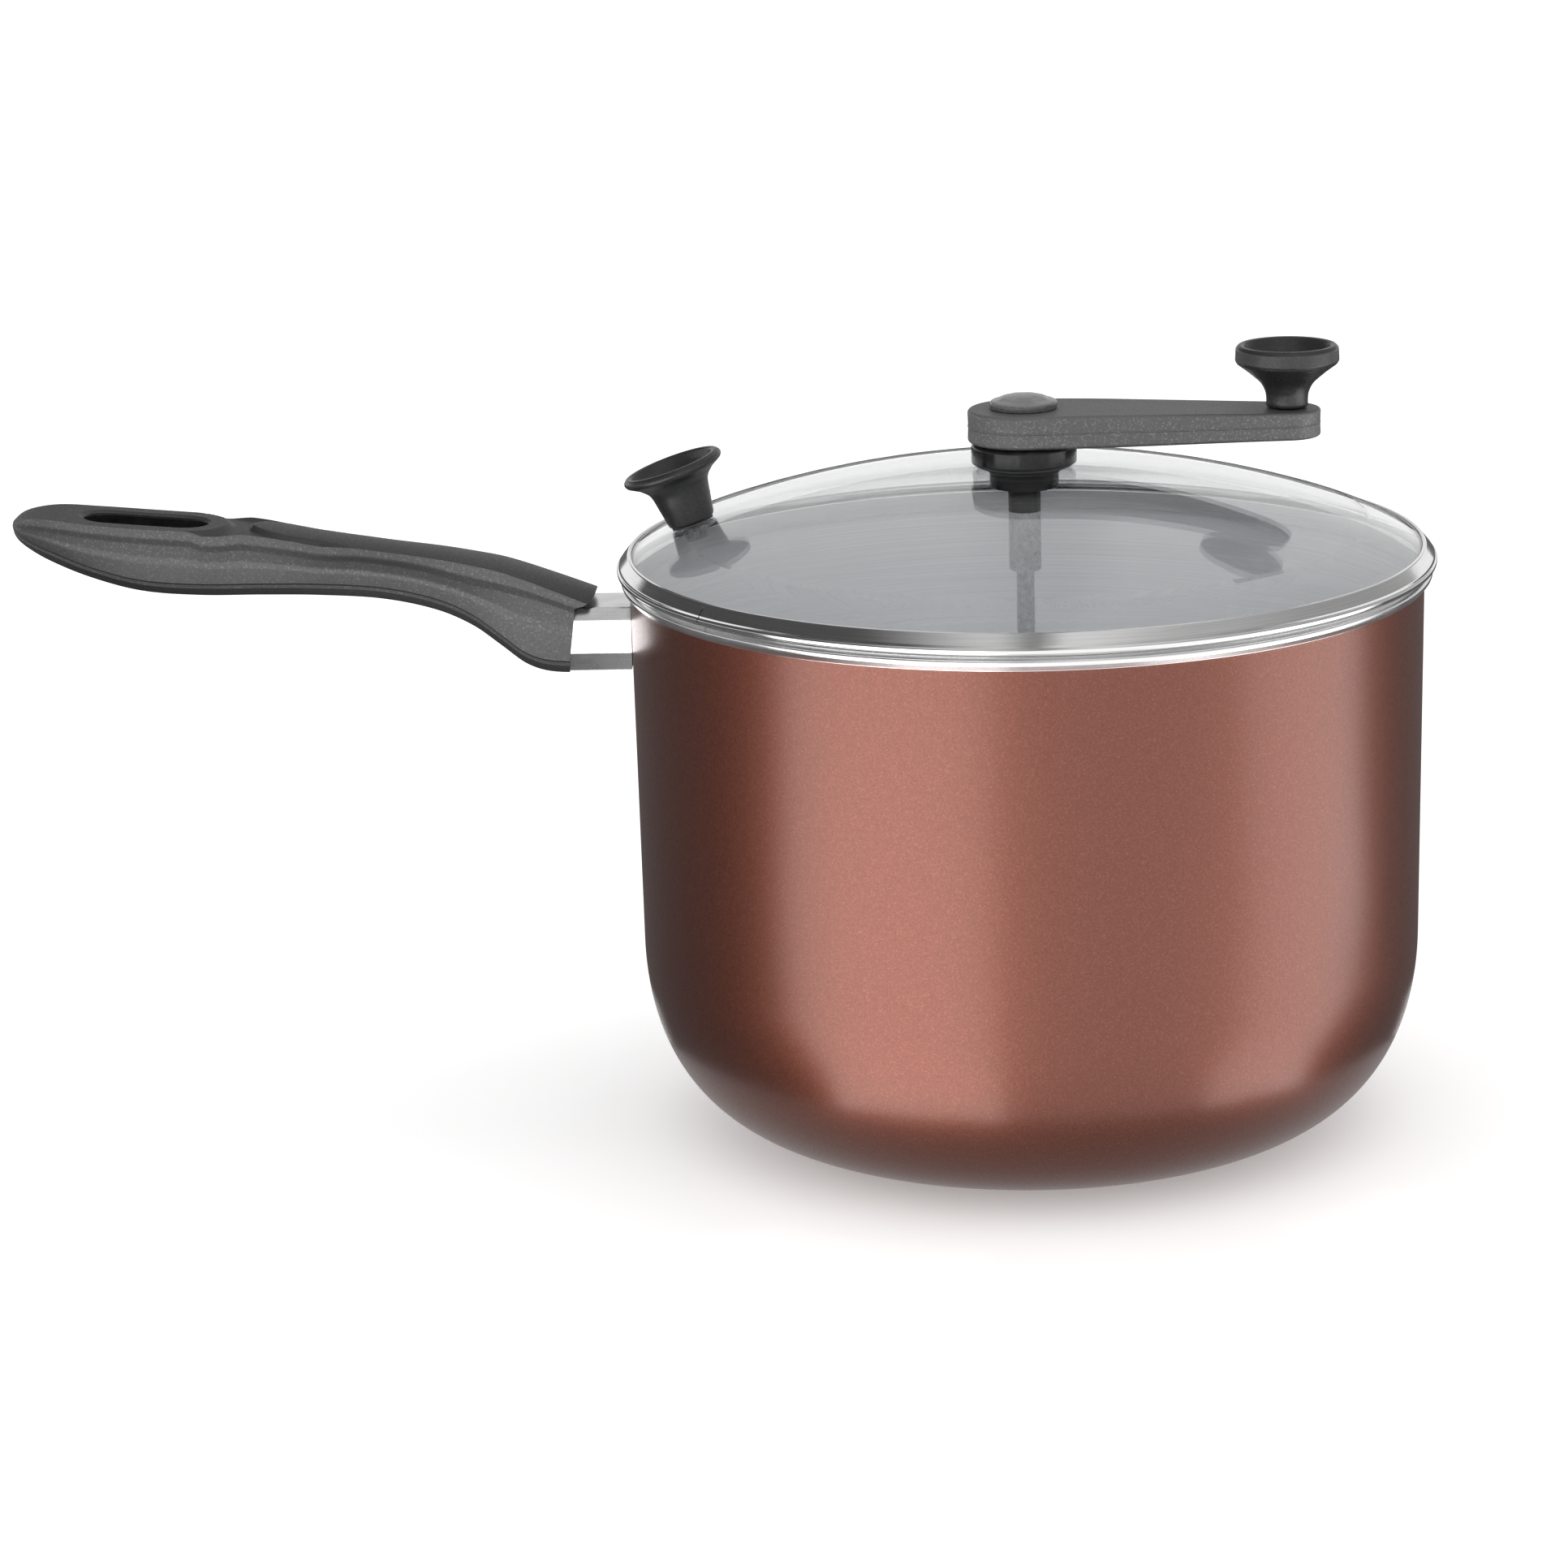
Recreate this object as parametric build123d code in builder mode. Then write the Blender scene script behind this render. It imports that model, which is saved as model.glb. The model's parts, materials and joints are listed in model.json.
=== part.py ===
"""Stove-top popcorn maker: a saucepan with a domed glass lid and a crank that turns a wire stirrer.

Millimetres. +Z is up, the origin is the centre of the flat base, and the long handle points along -X.
Four groups move: the pot, the lid that lifts off it, the crank that turns in the lid, and the knob
that spins on the crank.
"""

import os
from math import asin, cos, degrees, radians, sin, sqrt, tan

from build123d import *

# ---------------------------------------------------------------- driving dimensions
GAP = 0.02  # between pieces that touch
RUN = 0.06  # running clearance on a radius
APART = 0.3  # between pieces that move past each other
PAST = 30.0  # how far a cut runs beyond the piece it cuts

# Fasteners: M4 pan-head screws with a cross recess, and their washers
SCREW_R = 2.0
SCREW_HOLE_R = 2.2
SCREW_HEAD_R = 3.8
SCREW_HEAD_H = 2.2
HEAD_TAPER = 12  # degrees
CROSS_L = 4.5
CROSS_W = 0.9
CROSS_DEPTH = 1.2
WASHER_T = 0.8
RIVET_R = 2.0
RIVET_HEAD_H = 1.2
RIVET_TAPER = 25  # degrees
PIN_R = 1.0

# Pot
POT_R = 111.0  # outside radius under the lip
POT_DRAFT = 1.0  # the wall leans in by this much towards the base
WALL = 2.0
FLOOR = 3.0
BASE_FLAT_R = 61.5
CORNER_H = 56.0  # height where the rounded bottom corner meets the wall
CORNER_FULLNESS = 0.62
LIP_Z = 156.5  # underside of the bright lip
LIP_R = 113.3
LIP_ROOT = 0.5  # width of the step under the lip
LIP_FLARE_H = 2.2
LIP_EDGE = 0.8
POT_H = 160.4
RING_RADII = (24.0, 36.0, 48.0)  # turned grooves in the underside
RING_W = 1.2
RING_DEPTH = 0.4

# Lid: glass dome in a steel band; part of a sphere that turns down in a tighter arc near its edge
DOME_APEX_Z = 188.8
DOME_R = 292.0
KNUCKLE_AT = 96.0  # distance from the axis where the tighter arc starts
GLASS_T = 3.2
GLASS_EDGE_R = 112.0
GLASS_EDGE_Z = 165.2
DOME_CENTRE_Z = DOME_APEX_Z - DOME_R
BAND_T = 0.5
BAND_R = 114.4
BAND_LIP_R = 110.4
BAND_Z = POT_H + APART
BAND_SHOULDER_Z = 162.5
SKIRT_R = 108.4
SKIRT_Z = 155.2
SEAM_W = 0.3
SEAM_ANGLE = 220.0  # degrees round from +X, seen from above

# Bearing for the spindle, through the middle of the glass
SPINDLE_R = 4.5
FLANGE_R = 14.7
SLEEVE_R = 6.0
GLASS_HOLE_R = 6.4
SEAL_T = 0.5
FLANGE_Z = DOME_APEX_Z + SEAL_T
BUSH_TOP_Z = 195.2
NUT_R = 9.6
NUT_Z = 180.9
NUT_RECESS_R = 7.4
NUT_RECESS_H = 1.5
SLEEVE_Z = NUT_Z + NUT_RECESS_H
CLIP_T = 0.8
CLIP_R = 6.6
CLIP_GROOVE_R = 3.6

# Crank arm, along +X
CRANK_REACH = 73.0
ARM_Z = BUSH_TOP_Z + APART
ARM_T = 9.2
ARM_TOP_Z = ARM_Z + ARM_T
ARM_BOSS_R = 15.6
ARM_TIP_R = 9.3
ARM_TIP_FALL = 1.0  # the top face falls by this much along the arm
ARM_EDGE = 0.8
SQUARE = 6.4  # square head of the spindle
ARM_POCKET_R = 6.2
ARM_POCKET_H = 4.4
CAP_R = 9.4
CAP_SIDE_H = 2.1
CAP_H = 3.6
CAP_SKIRT_T = 1.4
CAP_SKIRT_H = 2.9
CRANK_SCREW_L = 11.0

# Knobs: (radius, height) points up the waisted stem to the rim
KNOB_STEM = ((5.8, 0.0), (5.8, 2.6), (6.2, 4.6), (7.6, 7.0), (11.0, 10.0))
KNOB_RIM_R = 14.4
KNOB_RIM_Z = 12.6
KNOB_H = 17.4
KNOB_CUP_R = 11.8
KNOB_CUP_Z = 9.4
LID_KNOB_AT = 93.0  # distance of the lid knob from the axis
LID_KNOB_STEM = ((6.5, 0.0), (6.9, 2.0), (7.6, 6.0), (8.6, 10.6), (10.9, 13.2))
LID_KNOB_RIM_Z = 15.4
LID_KNOB_FOOT_R = 6.0
LID_HOLE_R = 2.6
INSERT_R = 3.4
INSERT_H = 6.6
INSERT_BORE_H = 7.0
LID_SCREW_REACH = 7.5  # above the glass
KNOB_PIN_R = 3.0
KNOB_PIN_FOOT_R = 2.5
KNOB_PIN_HEAD_R = 4.8
KNOB_PIN_HEAD_H = 2.2

# Stirrer
ROD_R = 2.5
COUPLING_Z = 158.0
SPINDLE_END_Z = 174.5  # shoulder of the spindle, on the coupling
SPIGOT_R = 3.0
SPINDLE_FOOT_Z = 166.5
PIN_RISE = 3.6  # of each cross pin above the foot of its socket
HUB_R = 8.0
HUB_Z = 4.2
HUB_H = 13.0
WIRE_R = 1.5
LONG_WIRE_Z = 7.5
SHORT_WIRE_Z = 13.2
WIRE_START = ROD_R + 0.4
HUB_SCREW_RISE = 9.0
HEX_R = 1.1
# Routes of the wires, as distance from the axis and height, and the radius of each bend
LONG_ROUTE = (
    (WIRE_START, LONG_WIRE_Z),
    (16.0, LONG_WIRE_Z),
    (24.0, 5.2),
    (62.0, 5.2),
    (84.0, 13.0),
    (96.0, 27.0),
    (99.0, 44.0),
)
LONG_BENDS = (10, 10, 24, 18, 24)
SHORT_ROUTE = (
    (-WIRE_START, SHORT_WIRE_Z),
    (-18.0, SHORT_WIRE_Z),
    (-30.0, 7.2),
    (-58.0, 7.2),
    (-66.0, 22.0),
    (-66.0, 36.0),
)
SHORT_BENDS = (10, 10, 8, 10)

# Handle and its fixing
GUARD_W = 24.0
GUARD_H = 18.6
GUARD_Z = 133.2
GUARD_T = 0.8
GUARD_TOP_BEVEL = (2.6, 3.0)  # across and down
GUARD_LOW_BEVEL = (4.5, 6.0)
GUARD_ROUNDING = 1.1
END_LOW_X = -128.4  # underside of the handle's near end
END_LOW_Z = GUARD_Z - 0.4
END_TILT = 7.0  # degrees from upright
END_STEP_Z = GUARD_Z + GUARD_H + 0.3  # above this the handle reaches over the guard
END_TOP_X = -119.8
SPIGOT_L = 6.0
TANG_W = 12.0
TANG_T = 4.0
TANG_Z = GUARD_Z + GUARD_H / 2
TANG_END_X = -150.0
FOOT_H = 14.6
FOOT_W = 14.0
FOOT_T = 2.5
HANDLE_SCREW_X = -134.2
SCREW_RECESS_Z = 137.0
SCREW_RECESS_R = 4.4
SLOT_LEN = 35.0
SLOT_W = 15.0
SLOT_X = -247.5
RIVET_RISE = 4.8  # rivets above and below the tang
SHOULDER_DROP = 4.0  # from the crown of the handle to its side
CREASE_RISE = 3.4  # from the underside to the side
# Stations along the handle: x, half width, height of the crown, height of the underside
GRIP_STATIONS = (
    (-112.0, 13.2, 151.4, 132.8),
    (-124.0, 13.1, 156.0, 132.8),
    (-134.0, 12.9, 159.5, 133.2),
    (-140.5, 12.8, 161.6, 135.6),
    (-147.0, 12.6, 163.5, 140.6),
    (-155.0, 12.3, 165.3, 146.6),
    (-165.0, 12.0, 167.2, 151.2),
    (-180.0, 11.8, 169.4, 154.6),
    (-198.0, 12.2, 172.2, 156.0),
    (-214.0, 13.3, 174.9, 156.5),
    (-232.0, 14.7, 175.8, 156.9),
    (-248.0, 15.3, 176.9, 158.5),
    (-262.0, 14.6, 178.4, 162.6),
    (-274.0, 12.2, 179.6, 167.6),
    (-281.5, 8.0, 179.0, 171.6),
    (-285.2, 2.8, 177.0, 174.8),
)

os.makedirs("parts", exist_ok=True)


# ---------------------------------------------------------------- shared geometry
def dome_z(radius, depth=0.0):
    """Height of the dome's sphere at a distance from the axis; depth goes down through the glass."""
    return DOME_CENTRE_Z + sqrt((DOME_R - depth) ** 2 - radius**2)


def knuckle_arc():
    """Centre and radius of the tighter arc that carries the dome on to its edge, tangent to the sphere."""
    join = Vector(KNUCKLE_AT, dome_z(KNUCKLE_AT))
    outward = (join - Vector(0, DOME_CENTRE_Z)).normalized()
    to_edge = Vector(GLASS_EDGE_R, GLASS_EDGE_Z) - join
    radius = -to_edge.dot(to_edge) / (2 * to_edge.dot(outward))
    return join - outward * radius, radius


def knuckle_z(radius, depth=0.0):
    """Height of the glass between the sphere and the edge."""
    centre, arc_r = knuckle_arc()
    return centre.Y + sqrt((arc_r - depth) ** 2 - (radius - centre.X) ** 2)


def dome_join(depth=0.0):
    """Point where the sphere meets the tighter arc, at a depth into the glass."""
    outward = KNUCKLE_AT / DOME_R
    reach = DOME_R - depth
    return (outward * reach, DOME_CENTRE_Z + sqrt(1 - outward**2) * reach)


def wall_r(z):
    """Outside radius of the pot's straight wall at a height."""
    return POT_R - POT_DRAFT * (LIP_Z - z) / (LIP_Z - CORNER_H)


def corner_handles(inset, floor):
    """Handles of the curve that rounds the pot's bottom corner."""
    run = wall_r(CORNER_H) - BASE_FLAT_R - inset
    rise = CORNER_H - floor
    return (
        (BASE_FLAT_R, floor),
        (BASE_FLAT_R + CORNER_FULLNESS * run, floor),
        (BASE_FLAT_R + run, CORNER_H - CORNER_FULLNESS * rise),
        (BASE_FLAT_R + run, CORNER_H),
    )


def guard_outline(inset=0.0):
    """Section of the flame guard, width across and height up: small bevels on top, deeper ones below."""
    half = GUARD_W / 2 - inset
    top = GUARD_Z + GUARD_H - inset
    low = GUARD_Z + inset
    with BuildSketch() as section:
        with BuildLine():
            Polyline(
                (-half + GUARD_TOP_BEVEL[0], top),
                (half - GUARD_TOP_BEVEL[0], top),
                (half, top - GUARD_TOP_BEVEL[1]),
                (half, low + GUARD_LOW_BEVEL[1]),
                (half - GUARD_LOW_BEVEL[0], low),
                (-half + GUARD_LOW_BEVEL[0], low),
                (-half, low + GUARD_LOW_BEVEL[1]),
                (-half, top - GUARD_TOP_BEVEL[1]),
                close=True,
            )
        make_face()
        fillet(section.vertices(), radius=GUARD_ROUNDING)
    return section.sketch


def end_plane(shift=0.0):
    """Slanted plane where the handle meets the flame guard; a positive shift is towards the pot."""
    lean = radians(END_TILT)
    return Plane(
        origin=(END_LOW_X + shift, 0, END_LOW_Z),
        x_dir=(0, 1, 0),
        z_dir=(cos(lean), 0, -sin(lean)),
    )


def is_rim_edge(edge):
    """True for edges that follow the outline of a level or nearly level face, not for cross lines."""
    along = edge.tangent_at(0.5)
    crosswise = edge.geom_type == GeomType.LINE and abs(along.Y) > 0.99
    return abs(along.Z) < 0.3 and not crosswise


def knob_outline(stem, rim_z, height, bore_r, cup_z=KNOB_CUP_Z):
    """Half section of a waisted knob with a thin flared rim and a dished top: radius across, height up."""
    with BuildSketch() as section:
        with BuildLine():
            Line((bore_r, 0), stem[0])
            Line(stem[0], stem[1])
            Spline(stem[1:], tangents=((0, 1), (1, 0.85)))
            Line(stem[-1], (KNOB_RIM_R, rim_z))
            Line((KNOB_RIM_R, rim_z), (KNOB_RIM_R, height - 0.6))
            Line((KNOB_RIM_R, height - 0.6), (KNOB_RIM_R - 0.6, height))
            Line((KNOB_RIM_R - 0.6, height), (KNOB_CUP_R + 0.5, height))
            Spline(
                (KNOB_CUP_R + 0.5, height),
                (KNOB_CUP_R - 0.6, height - 2.0),
                (KNOB_CUP_R - 5.0, cup_z + 1.0),
                (bore_r, cup_z),
                tangents=((-0.3, -1), (-1, 0)),
            )
            Line((bore_r, cup_z), (bore_r, 0))
        make_face()
    return section.sketch


def pan_screw(seat, shank):
    """Solid of a screw: the shank rises from the seat plane, the head hangs below it."""
    with BuildPart() as screw:
        with BuildSketch(seat):
            Circle(SCREW_R)
        extrude(amount=shank)
        with BuildSketch(seat):
            Circle(SCREW_HEAD_R)
        extrude(amount=-SCREW_HEAD_H, taper=HEAD_TAPER)
        with BuildSketch(seat.offset(-SCREW_HEAD_H)):
            Rectangle(CROSS_L, CROSS_W)
            Rectangle(CROSS_W, CROSS_L)
        extrude(amount=CROSS_DEPTH, mode=Mode.SUBTRACT)
    return screw.part


# ---------------------------------------------------------------- pot
# Spun aluminium shell with a rounded bottom corner and a bright lip that flares out at the mouth
mouth_r = POT_R - WALL
rivet_spots = [(0, TANG_Z - RIVET_RISE), (0, TANG_Z + RIVET_RISE)]

with BuildPart() as pot_body:
    with BuildSketch(Plane.XZ):
        with BuildLine():
            Line((0, 0), (BASE_FLAT_R, 0))
            Bezier(*corner_handles(0, 0))
            Line((wall_r(CORNER_H), CORNER_H), (POT_R, LIP_Z))
            Line((POT_R, LIP_Z), (POT_R + LIP_ROOT, LIP_Z))
            Spline((POT_R + LIP_ROOT, LIP_Z), (LIP_R, LIP_Z + LIP_FLARE_H), tangents=((0.6, 1), (0.2, 1)))
            Line((LIP_R, LIP_Z + LIP_FLARE_H), (LIP_R, POT_H - LIP_EDGE))
            Line((LIP_R, POT_H - LIP_EDGE), (LIP_R - LIP_EDGE, POT_H))
            Line((LIP_R - LIP_EDGE, POT_H), (mouth_r + LIP_EDGE, POT_H))
            Line((mouth_r + LIP_EDGE, POT_H), (mouth_r, POT_H - LIP_EDGE))
            Line((mouth_r, POT_H - LIP_EDGE), (wall_r(CORNER_H) - WALL, CORNER_H))
            Bezier(*reversed(corner_handles(WALL, FLOOR)))
            Line((BASE_FLAT_R, FLOOR), (0, FLOOR))
            Line((0, FLOOR), (0, 0))
        make_face()
    revolve(axis=Axis.Z)
    with BuildSketch():
        for ring_r in RING_RADII:
            Circle(ring_r + RING_W / 2)
            Circle(ring_r - RING_W / 2, mode=Mode.SUBTRACT)
    extrude(amount=RING_DEPTH, mode=Mode.SUBTRACT)
    with BuildSketch(Plane.YZ.offset(-POT_R - 5)):
        with Locations(*rivet_spots):
            Circle(RIVET_R + GAP)
    extrude(amount=15, mode=Mode.SUBTRACT)
pot_body.part.label = "pot_body"
export_step(pot_body.part, "parts/pot_body.step")

# Bright sleeve between pot and handle, shaped to the pot at one end and slanted at the other
with BuildPart() as flame_guard:
    with BuildSketch(Plane.YZ.offset(-POT_R + 10)):
        add(guard_outline())
        add(guard_outline(GUARD_T), mode=Mode.SUBTRACT)
    extrude(amount=-60)
    with BuildSketch():
        Circle(POT_R + GAP)
    extrude(amount=POT_H, mode=Mode.SUBTRACT)
    split(bisect_by=end_plane(GAP), keep=Keep.TOP)
flame_guard.part.label = "flame_guard"
export_step(flame_guard.part, "parts/flame_guard.step")

# Steel foot on the wall, with a flat tang that reaches into the handle
with BuildPart() as handle_bracket:
    with BuildSketch(Plane.XY.offset(TANG_Z - FOOT_H / 2)):
        Circle(POT_R + FOOT_T)
        Circle(POT_R + GAP, mode=Mode.SUBTRACT)
        with Locations((-POT_R, 0)):
            Rectangle(30, FOOT_W, mode=Mode.INTERSECT)
    extrude(amount=FOOT_H)
    with BuildSketch(Plane.XY.offset(TANG_Z - TANG_T / 2)):
        with Locations((-POT_R - 1.0, 0)):
            Rectangle(-TANG_END_X - POT_R - 1.0, TANG_W, align=(Align.MAX, Align.CENTER))
    extrude(amount=TANG_T)
    with BuildSketch(Plane.XY.offset(TANG_Z - TANG_T / 2)):
        with Locations((HANDLE_SCREW_X, 0)):
            Circle(SCREW_R + GAP)
    extrude(amount=TANG_T, mode=Mode.SUBTRACT)
    with BuildSketch(Plane.YZ.offset(-POT_R - 8)):
        with Locations(*rivet_spots):
            Circle(RIVET_R + GAP)
    extrude(amount=12, mode=Mode.SUBTRACT)
handle_bracket.part.label = "handle_bracket"
export_step(handle_bracket.part, "parts/handle_bracket.step")

# Two rivets: broad low heads inside the pot, small snap heads on the foot
rivet_in = Plane(origin=(-mouth_r + 0.3, 0, 0), x_dir=(0, 1, 0), z_dir=(1, 0, 0))
rivet_out = Plane(origin=(-POT_R - FOOT_T - GAP, 0, 0), x_dir=(0, 1, 0), z_dir=(1, 0, 0))
with BuildPart() as bracket_rivets:
    with BuildSketch(rivet_out):
        with Locations(*rivet_spots):
            Circle(RIVET_R)
    extrude(amount=POT_R + FOOT_T - mouth_r + 0.5)
    with BuildSketch(rivet_in):
        with Locations(*rivet_spots):
            Circle(2 * RIVET_R)
    extrude(amount=RIVET_HEAD_H, taper=RIVET_TAPER)
    with BuildSketch(rivet_out):
        with Locations(*rivet_spots):
            Circle(1.3 * RIVET_R)
    extrude(amount=-RIVET_HEAD_H, taper=RIVET_TAPER)
bracket_rivets.part.label = "bracket_rivets"
export_step(bracket_rivets.part, "parts/bracket_rivets.step")

# Moulded handle: a crowned top facet, upright sides and a bevelled underside, lofted along its length
with BuildPart() as handle_grip:
    for x, half, top, low in GRIP_STATIONS:
        drop = min(SHOULDER_DROP, 0.3 * (top - low))
        rise = min(CREASE_RISE, 0.3 * (top - low))
        with BuildSketch(Plane.YZ.offset(x)) as station:
            with BuildLine():
                Polyline(
                    (-0.62 * half, top),
                    (0.62 * half, top),
                    (half, top - drop),
                    (0.92 * half, low + rise),
                    (0.55 * half, low),
                    (-0.55 * half, low),
                    (-0.92 * half, low + rise),
                    (-half, top - drop),
                    close=True,
                )
            make_face()
            fillet(station.vertices(), radius=0.2 * drop)
    loft()
    with BuildSketch(Plane.XZ):
        with BuildLine():
            Polyline(
                (END_LOW_X, END_LOW_Z - PAST),
                (END_LOW_X, END_LOW_Z),
                (END_LOW_X + (END_STEP_Z - END_LOW_Z) * tan(radians(END_TILT)), END_STEP_Z),
                (END_TOP_X - 1.6, END_STEP_Z),
                (END_TOP_X, END_STEP_Z + 3),
                (END_TOP_X, END_STEP_Z + PAST),
                (-POT_R + PAST, END_STEP_Z + PAST),
                (-POT_R + PAST, END_LOW_Z - PAST),
                close=True,
            )
        make_face()
    extrude(amount=20, both=True, mode=Mode.SUBTRACT)
    with BuildSketch(Plane.YZ.offset(END_LOW_X - 2)):
        add(guard_outline(GUARD_T + APART))
    extrude(amount=SPIGOT_L + 2)
    with BuildSketch(Plane.XY.offset(GUARD_Z)):
        with Locations((SLOT_X, 0)):
            SlotOverall(SLOT_LEN, SLOT_W)
    extrude(amount=2 * PAST, mode=Mode.SUBTRACT)
    with BuildSketch(Plane.YZ.offset(TANG_END_X - 0.5)):
        with Locations((0, TANG_Z)):
            Rectangle(TANG_W + 2 * GAP, TANG_T + 2 * GAP)
    extrude(amount=40, mode=Mode.SUBTRACT)
    with BuildSketch(Plane.XY.offset(SCREW_RECESS_Z - 12)):
        with Locations((HANDLE_SCREW_X, 0)):
            Circle(SCREW_RECESS_R)
    extrude(amount=12, mode=Mode.SUBTRACT)
    with BuildSketch(Plane.XY.offset(SCREW_RECESS_Z)):
        with Locations((HANDLE_SCREW_X, 0)):
            Circle(SCREW_HOLE_R)
    extrude(amount=TANG_Z + TANG_T + 2 - SCREW_RECESS_Z, mode=Mode.SUBTRACT)
handle_grip.part.label = "handle_grip"
export_step(handle_grip.part, "parts/handle_grip.step")

# Washer and pan-head screw that rise through the handle into the tapped tang
handle_seat = Plane(origin=(HANDLE_SCREW_X, 0, SCREW_RECESS_Z - GAP))
with BuildPart() as handle_washer:
    with BuildSketch(handle_seat):
        Circle(SCREW_RECESS_R - APART)
        Circle(SCREW_HOLE_R, mode=Mode.SUBTRACT)
    extrude(amount=-WASHER_T)
handle_washer.part.label = "handle_washer"
export_step(handle_washer.part, "parts/handle_washer.step")

with BuildPart() as handle_screw:
    add(pan_screw(handle_seat.offset(-WASHER_T - GAP), TANG_Z + TANG_T - SCREW_RECESS_Z))
handle_screw.part.label = "handle_screw"
export_step(handle_screw.part, "parts/handle_screw.step")

# ---------------------------------------------------------------- lid
knob_lean = degrees(asin(LID_KNOB_AT / DOME_R))
knob_foot = Plane(
    origin=(-LID_KNOB_AT, 0, dome_z(LID_KNOB_AT)),
    x_dir=(0, 1, 0),
    z_dir=(-sin(radians(knob_lean)), 0, cos(radians(knob_lean))),
)

# Pressed glass dome with a hole for the bearing and a hole for the lid knob's screw
knuckle_r = knuckle_arc()[1]
glass_low_z = knuckle_z(GLASS_EDGE_R, GLASS_T)
with BuildPart() as lid_glass:
    with BuildSketch(Plane.XZ):
        with BuildLine():
            Line((GLASS_HOLE_R, dome_z(GLASS_HOLE_R, GLASS_T)), (GLASS_HOLE_R, dome_z(GLASS_HOLE_R)))
            RadiusArc((GLASS_HOLE_R, dome_z(GLASS_HOLE_R)), dome_join(), DOME_R)
            RadiusArc(dome_join(), (GLASS_EDGE_R, GLASS_EDGE_Z), knuckle_r)
            Line((GLASS_EDGE_R, GLASS_EDGE_Z), (GLASS_EDGE_R, glass_low_z))
            RadiusArc((GLASS_EDGE_R, glass_low_z), dome_join(GLASS_T), GLASS_T - knuckle_r)
            RadiusArc(
                dome_join(GLASS_T),
                (GLASS_HOLE_R, dome_z(GLASS_HOLE_R, GLASS_T)),
                GLASS_T - DOME_R,
            )
        make_face()
    revolve(axis=Axis.Z)
    with BuildSketch(knob_foot.offset(GLASS_T)):
        Circle(LID_HOLE_R)
    extrude(amount=-3 * GLASS_T, mode=Mode.SUBTRACT)
lid_glass.part.label = "lid_glass"
export_step(lid_glass.part, "parts/lid_glass.step")

# Rolled steel band: grips the edge of the glass, rests on the pot's lip and drops inside the mouth
ledge_z = BAND_Z + BAND_T
lip_low = knuckle_z(BAND_LIP_R) + GAP
with BuildPart() as lid_band:
    with BuildSketch(Plane.XZ):
        with BuildLine():
            Polyline(
                (SKIRT_R, SKIRT_Z),
                (SKIRT_R, BAND_Z),
                (BAND_R - 0.4, BAND_Z),
                (BAND_R, BAND_Z + 0.4),
                (BAND_R, BAND_SHOULDER_Z),
                (BAND_R - 1.5, lip_low - 0.5),
                (BAND_LIP_R + 0.5, lip_low + BAND_T),
                (BAND_LIP_R, lip_low + BAND_T - 0.2),
                (BAND_LIP_R, lip_low),
                (BAND_R - 2.0, lip_low - 0.7),
                (BAND_R - BAND_T, BAND_SHOULDER_Z - 0.1),
                (BAND_R - BAND_T, ledge_z),
                (SKIRT_R - BAND_T, ledge_z),
                (SKIRT_R - BAND_T, SKIRT_Z),
                close=True,
            )
        make_face()
    revolve(axis=Axis.Z)
    seam = Plane(origin=(0, 0, SKIRT_Z - 1)).rotated((0, 0, SEAM_ANGLE))
    with BuildSketch(seam):
        with Locations((BAND_R - 5, 0)):
            Rectangle(20, SEAM_W)
    extrude(amount=15, mode=Mode.SUBTRACT)
lid_band.part.label = "lid_band"
export_step(lid_band.part, "parts/lid_band.step")

# Lid knob on its own screw: seal, insert, washer and screw stand square to the dome
knob_seat = knob_foot.offset(SEAL_T)
with BuildPart() as lid_knob_seal:
    with BuildSketch(knob_foot.offset(GAP)):
        Circle(LID_KNOB_FOOT_R)
        Circle(LID_HOLE_R, mode=Mode.SUBTRACT)
    extrude(amount=SEAL_T - 2 * GAP)
lid_knob_seal.part.label = "lid_knob_seal"
export_step(lid_knob_seal.part, "parts/lid_knob_seal.step")

with BuildPart() as lid_knob_upright:
    with BuildSketch(Plane.XZ):
        add(knob_outline(LID_KNOB_STEM, LID_KNOB_RIM_Z, KNOB_H, 0.0))
    revolve(axis=Axis.Z)
    with BuildSketch():
        Circle(INSERT_R)
    extrude(amount=INSERT_BORE_H, mode=Mode.SUBTRACT)

with BuildPart() as lid_knob:
    add(knob_seat.location * lid_knob_upright.part)
lid_knob.part.label = "lid_knob"
export_step(lid_knob.part, "parts/lid_knob.step")

with BuildPart() as knob_insert:
    with BuildSketch(knob_seat.offset(GAP)):
        Circle(INSERT_R - GAP)
        Circle(SCREW_R + GAP, mode=Mode.SUBTRACT)
    extrude(amount=INSERT_H)
knob_insert.part.label = "knob_insert"
export_step(knob_insert.part, "parts/knob_insert.step")

under_glass = knob_foot.offset(-GLASS_T - 5 * GAP)
with BuildPart() as lid_knob_washer:
    with BuildSketch(under_glass):
        Circle(LID_KNOB_FOOT_R)
        Circle(SCREW_HOLE_R, mode=Mode.SUBTRACT)
    extrude(amount=-WASHER_T)
lid_knob_washer.part.label = "lid_knob_washer"
export_step(lid_knob_washer.part, "parts/lid_knob_washer.step")

with BuildPart() as lid_knob_screw:
    add(pan_screw(under_glass.offset(-WASHER_T - GAP), GLASS_T + LID_SCREW_REACH))
lid_knob_screw.part.label = "lid_knob_screw"
export_step(lid_knob_screw.part, "parts/lid_knob_screw.step")

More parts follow.
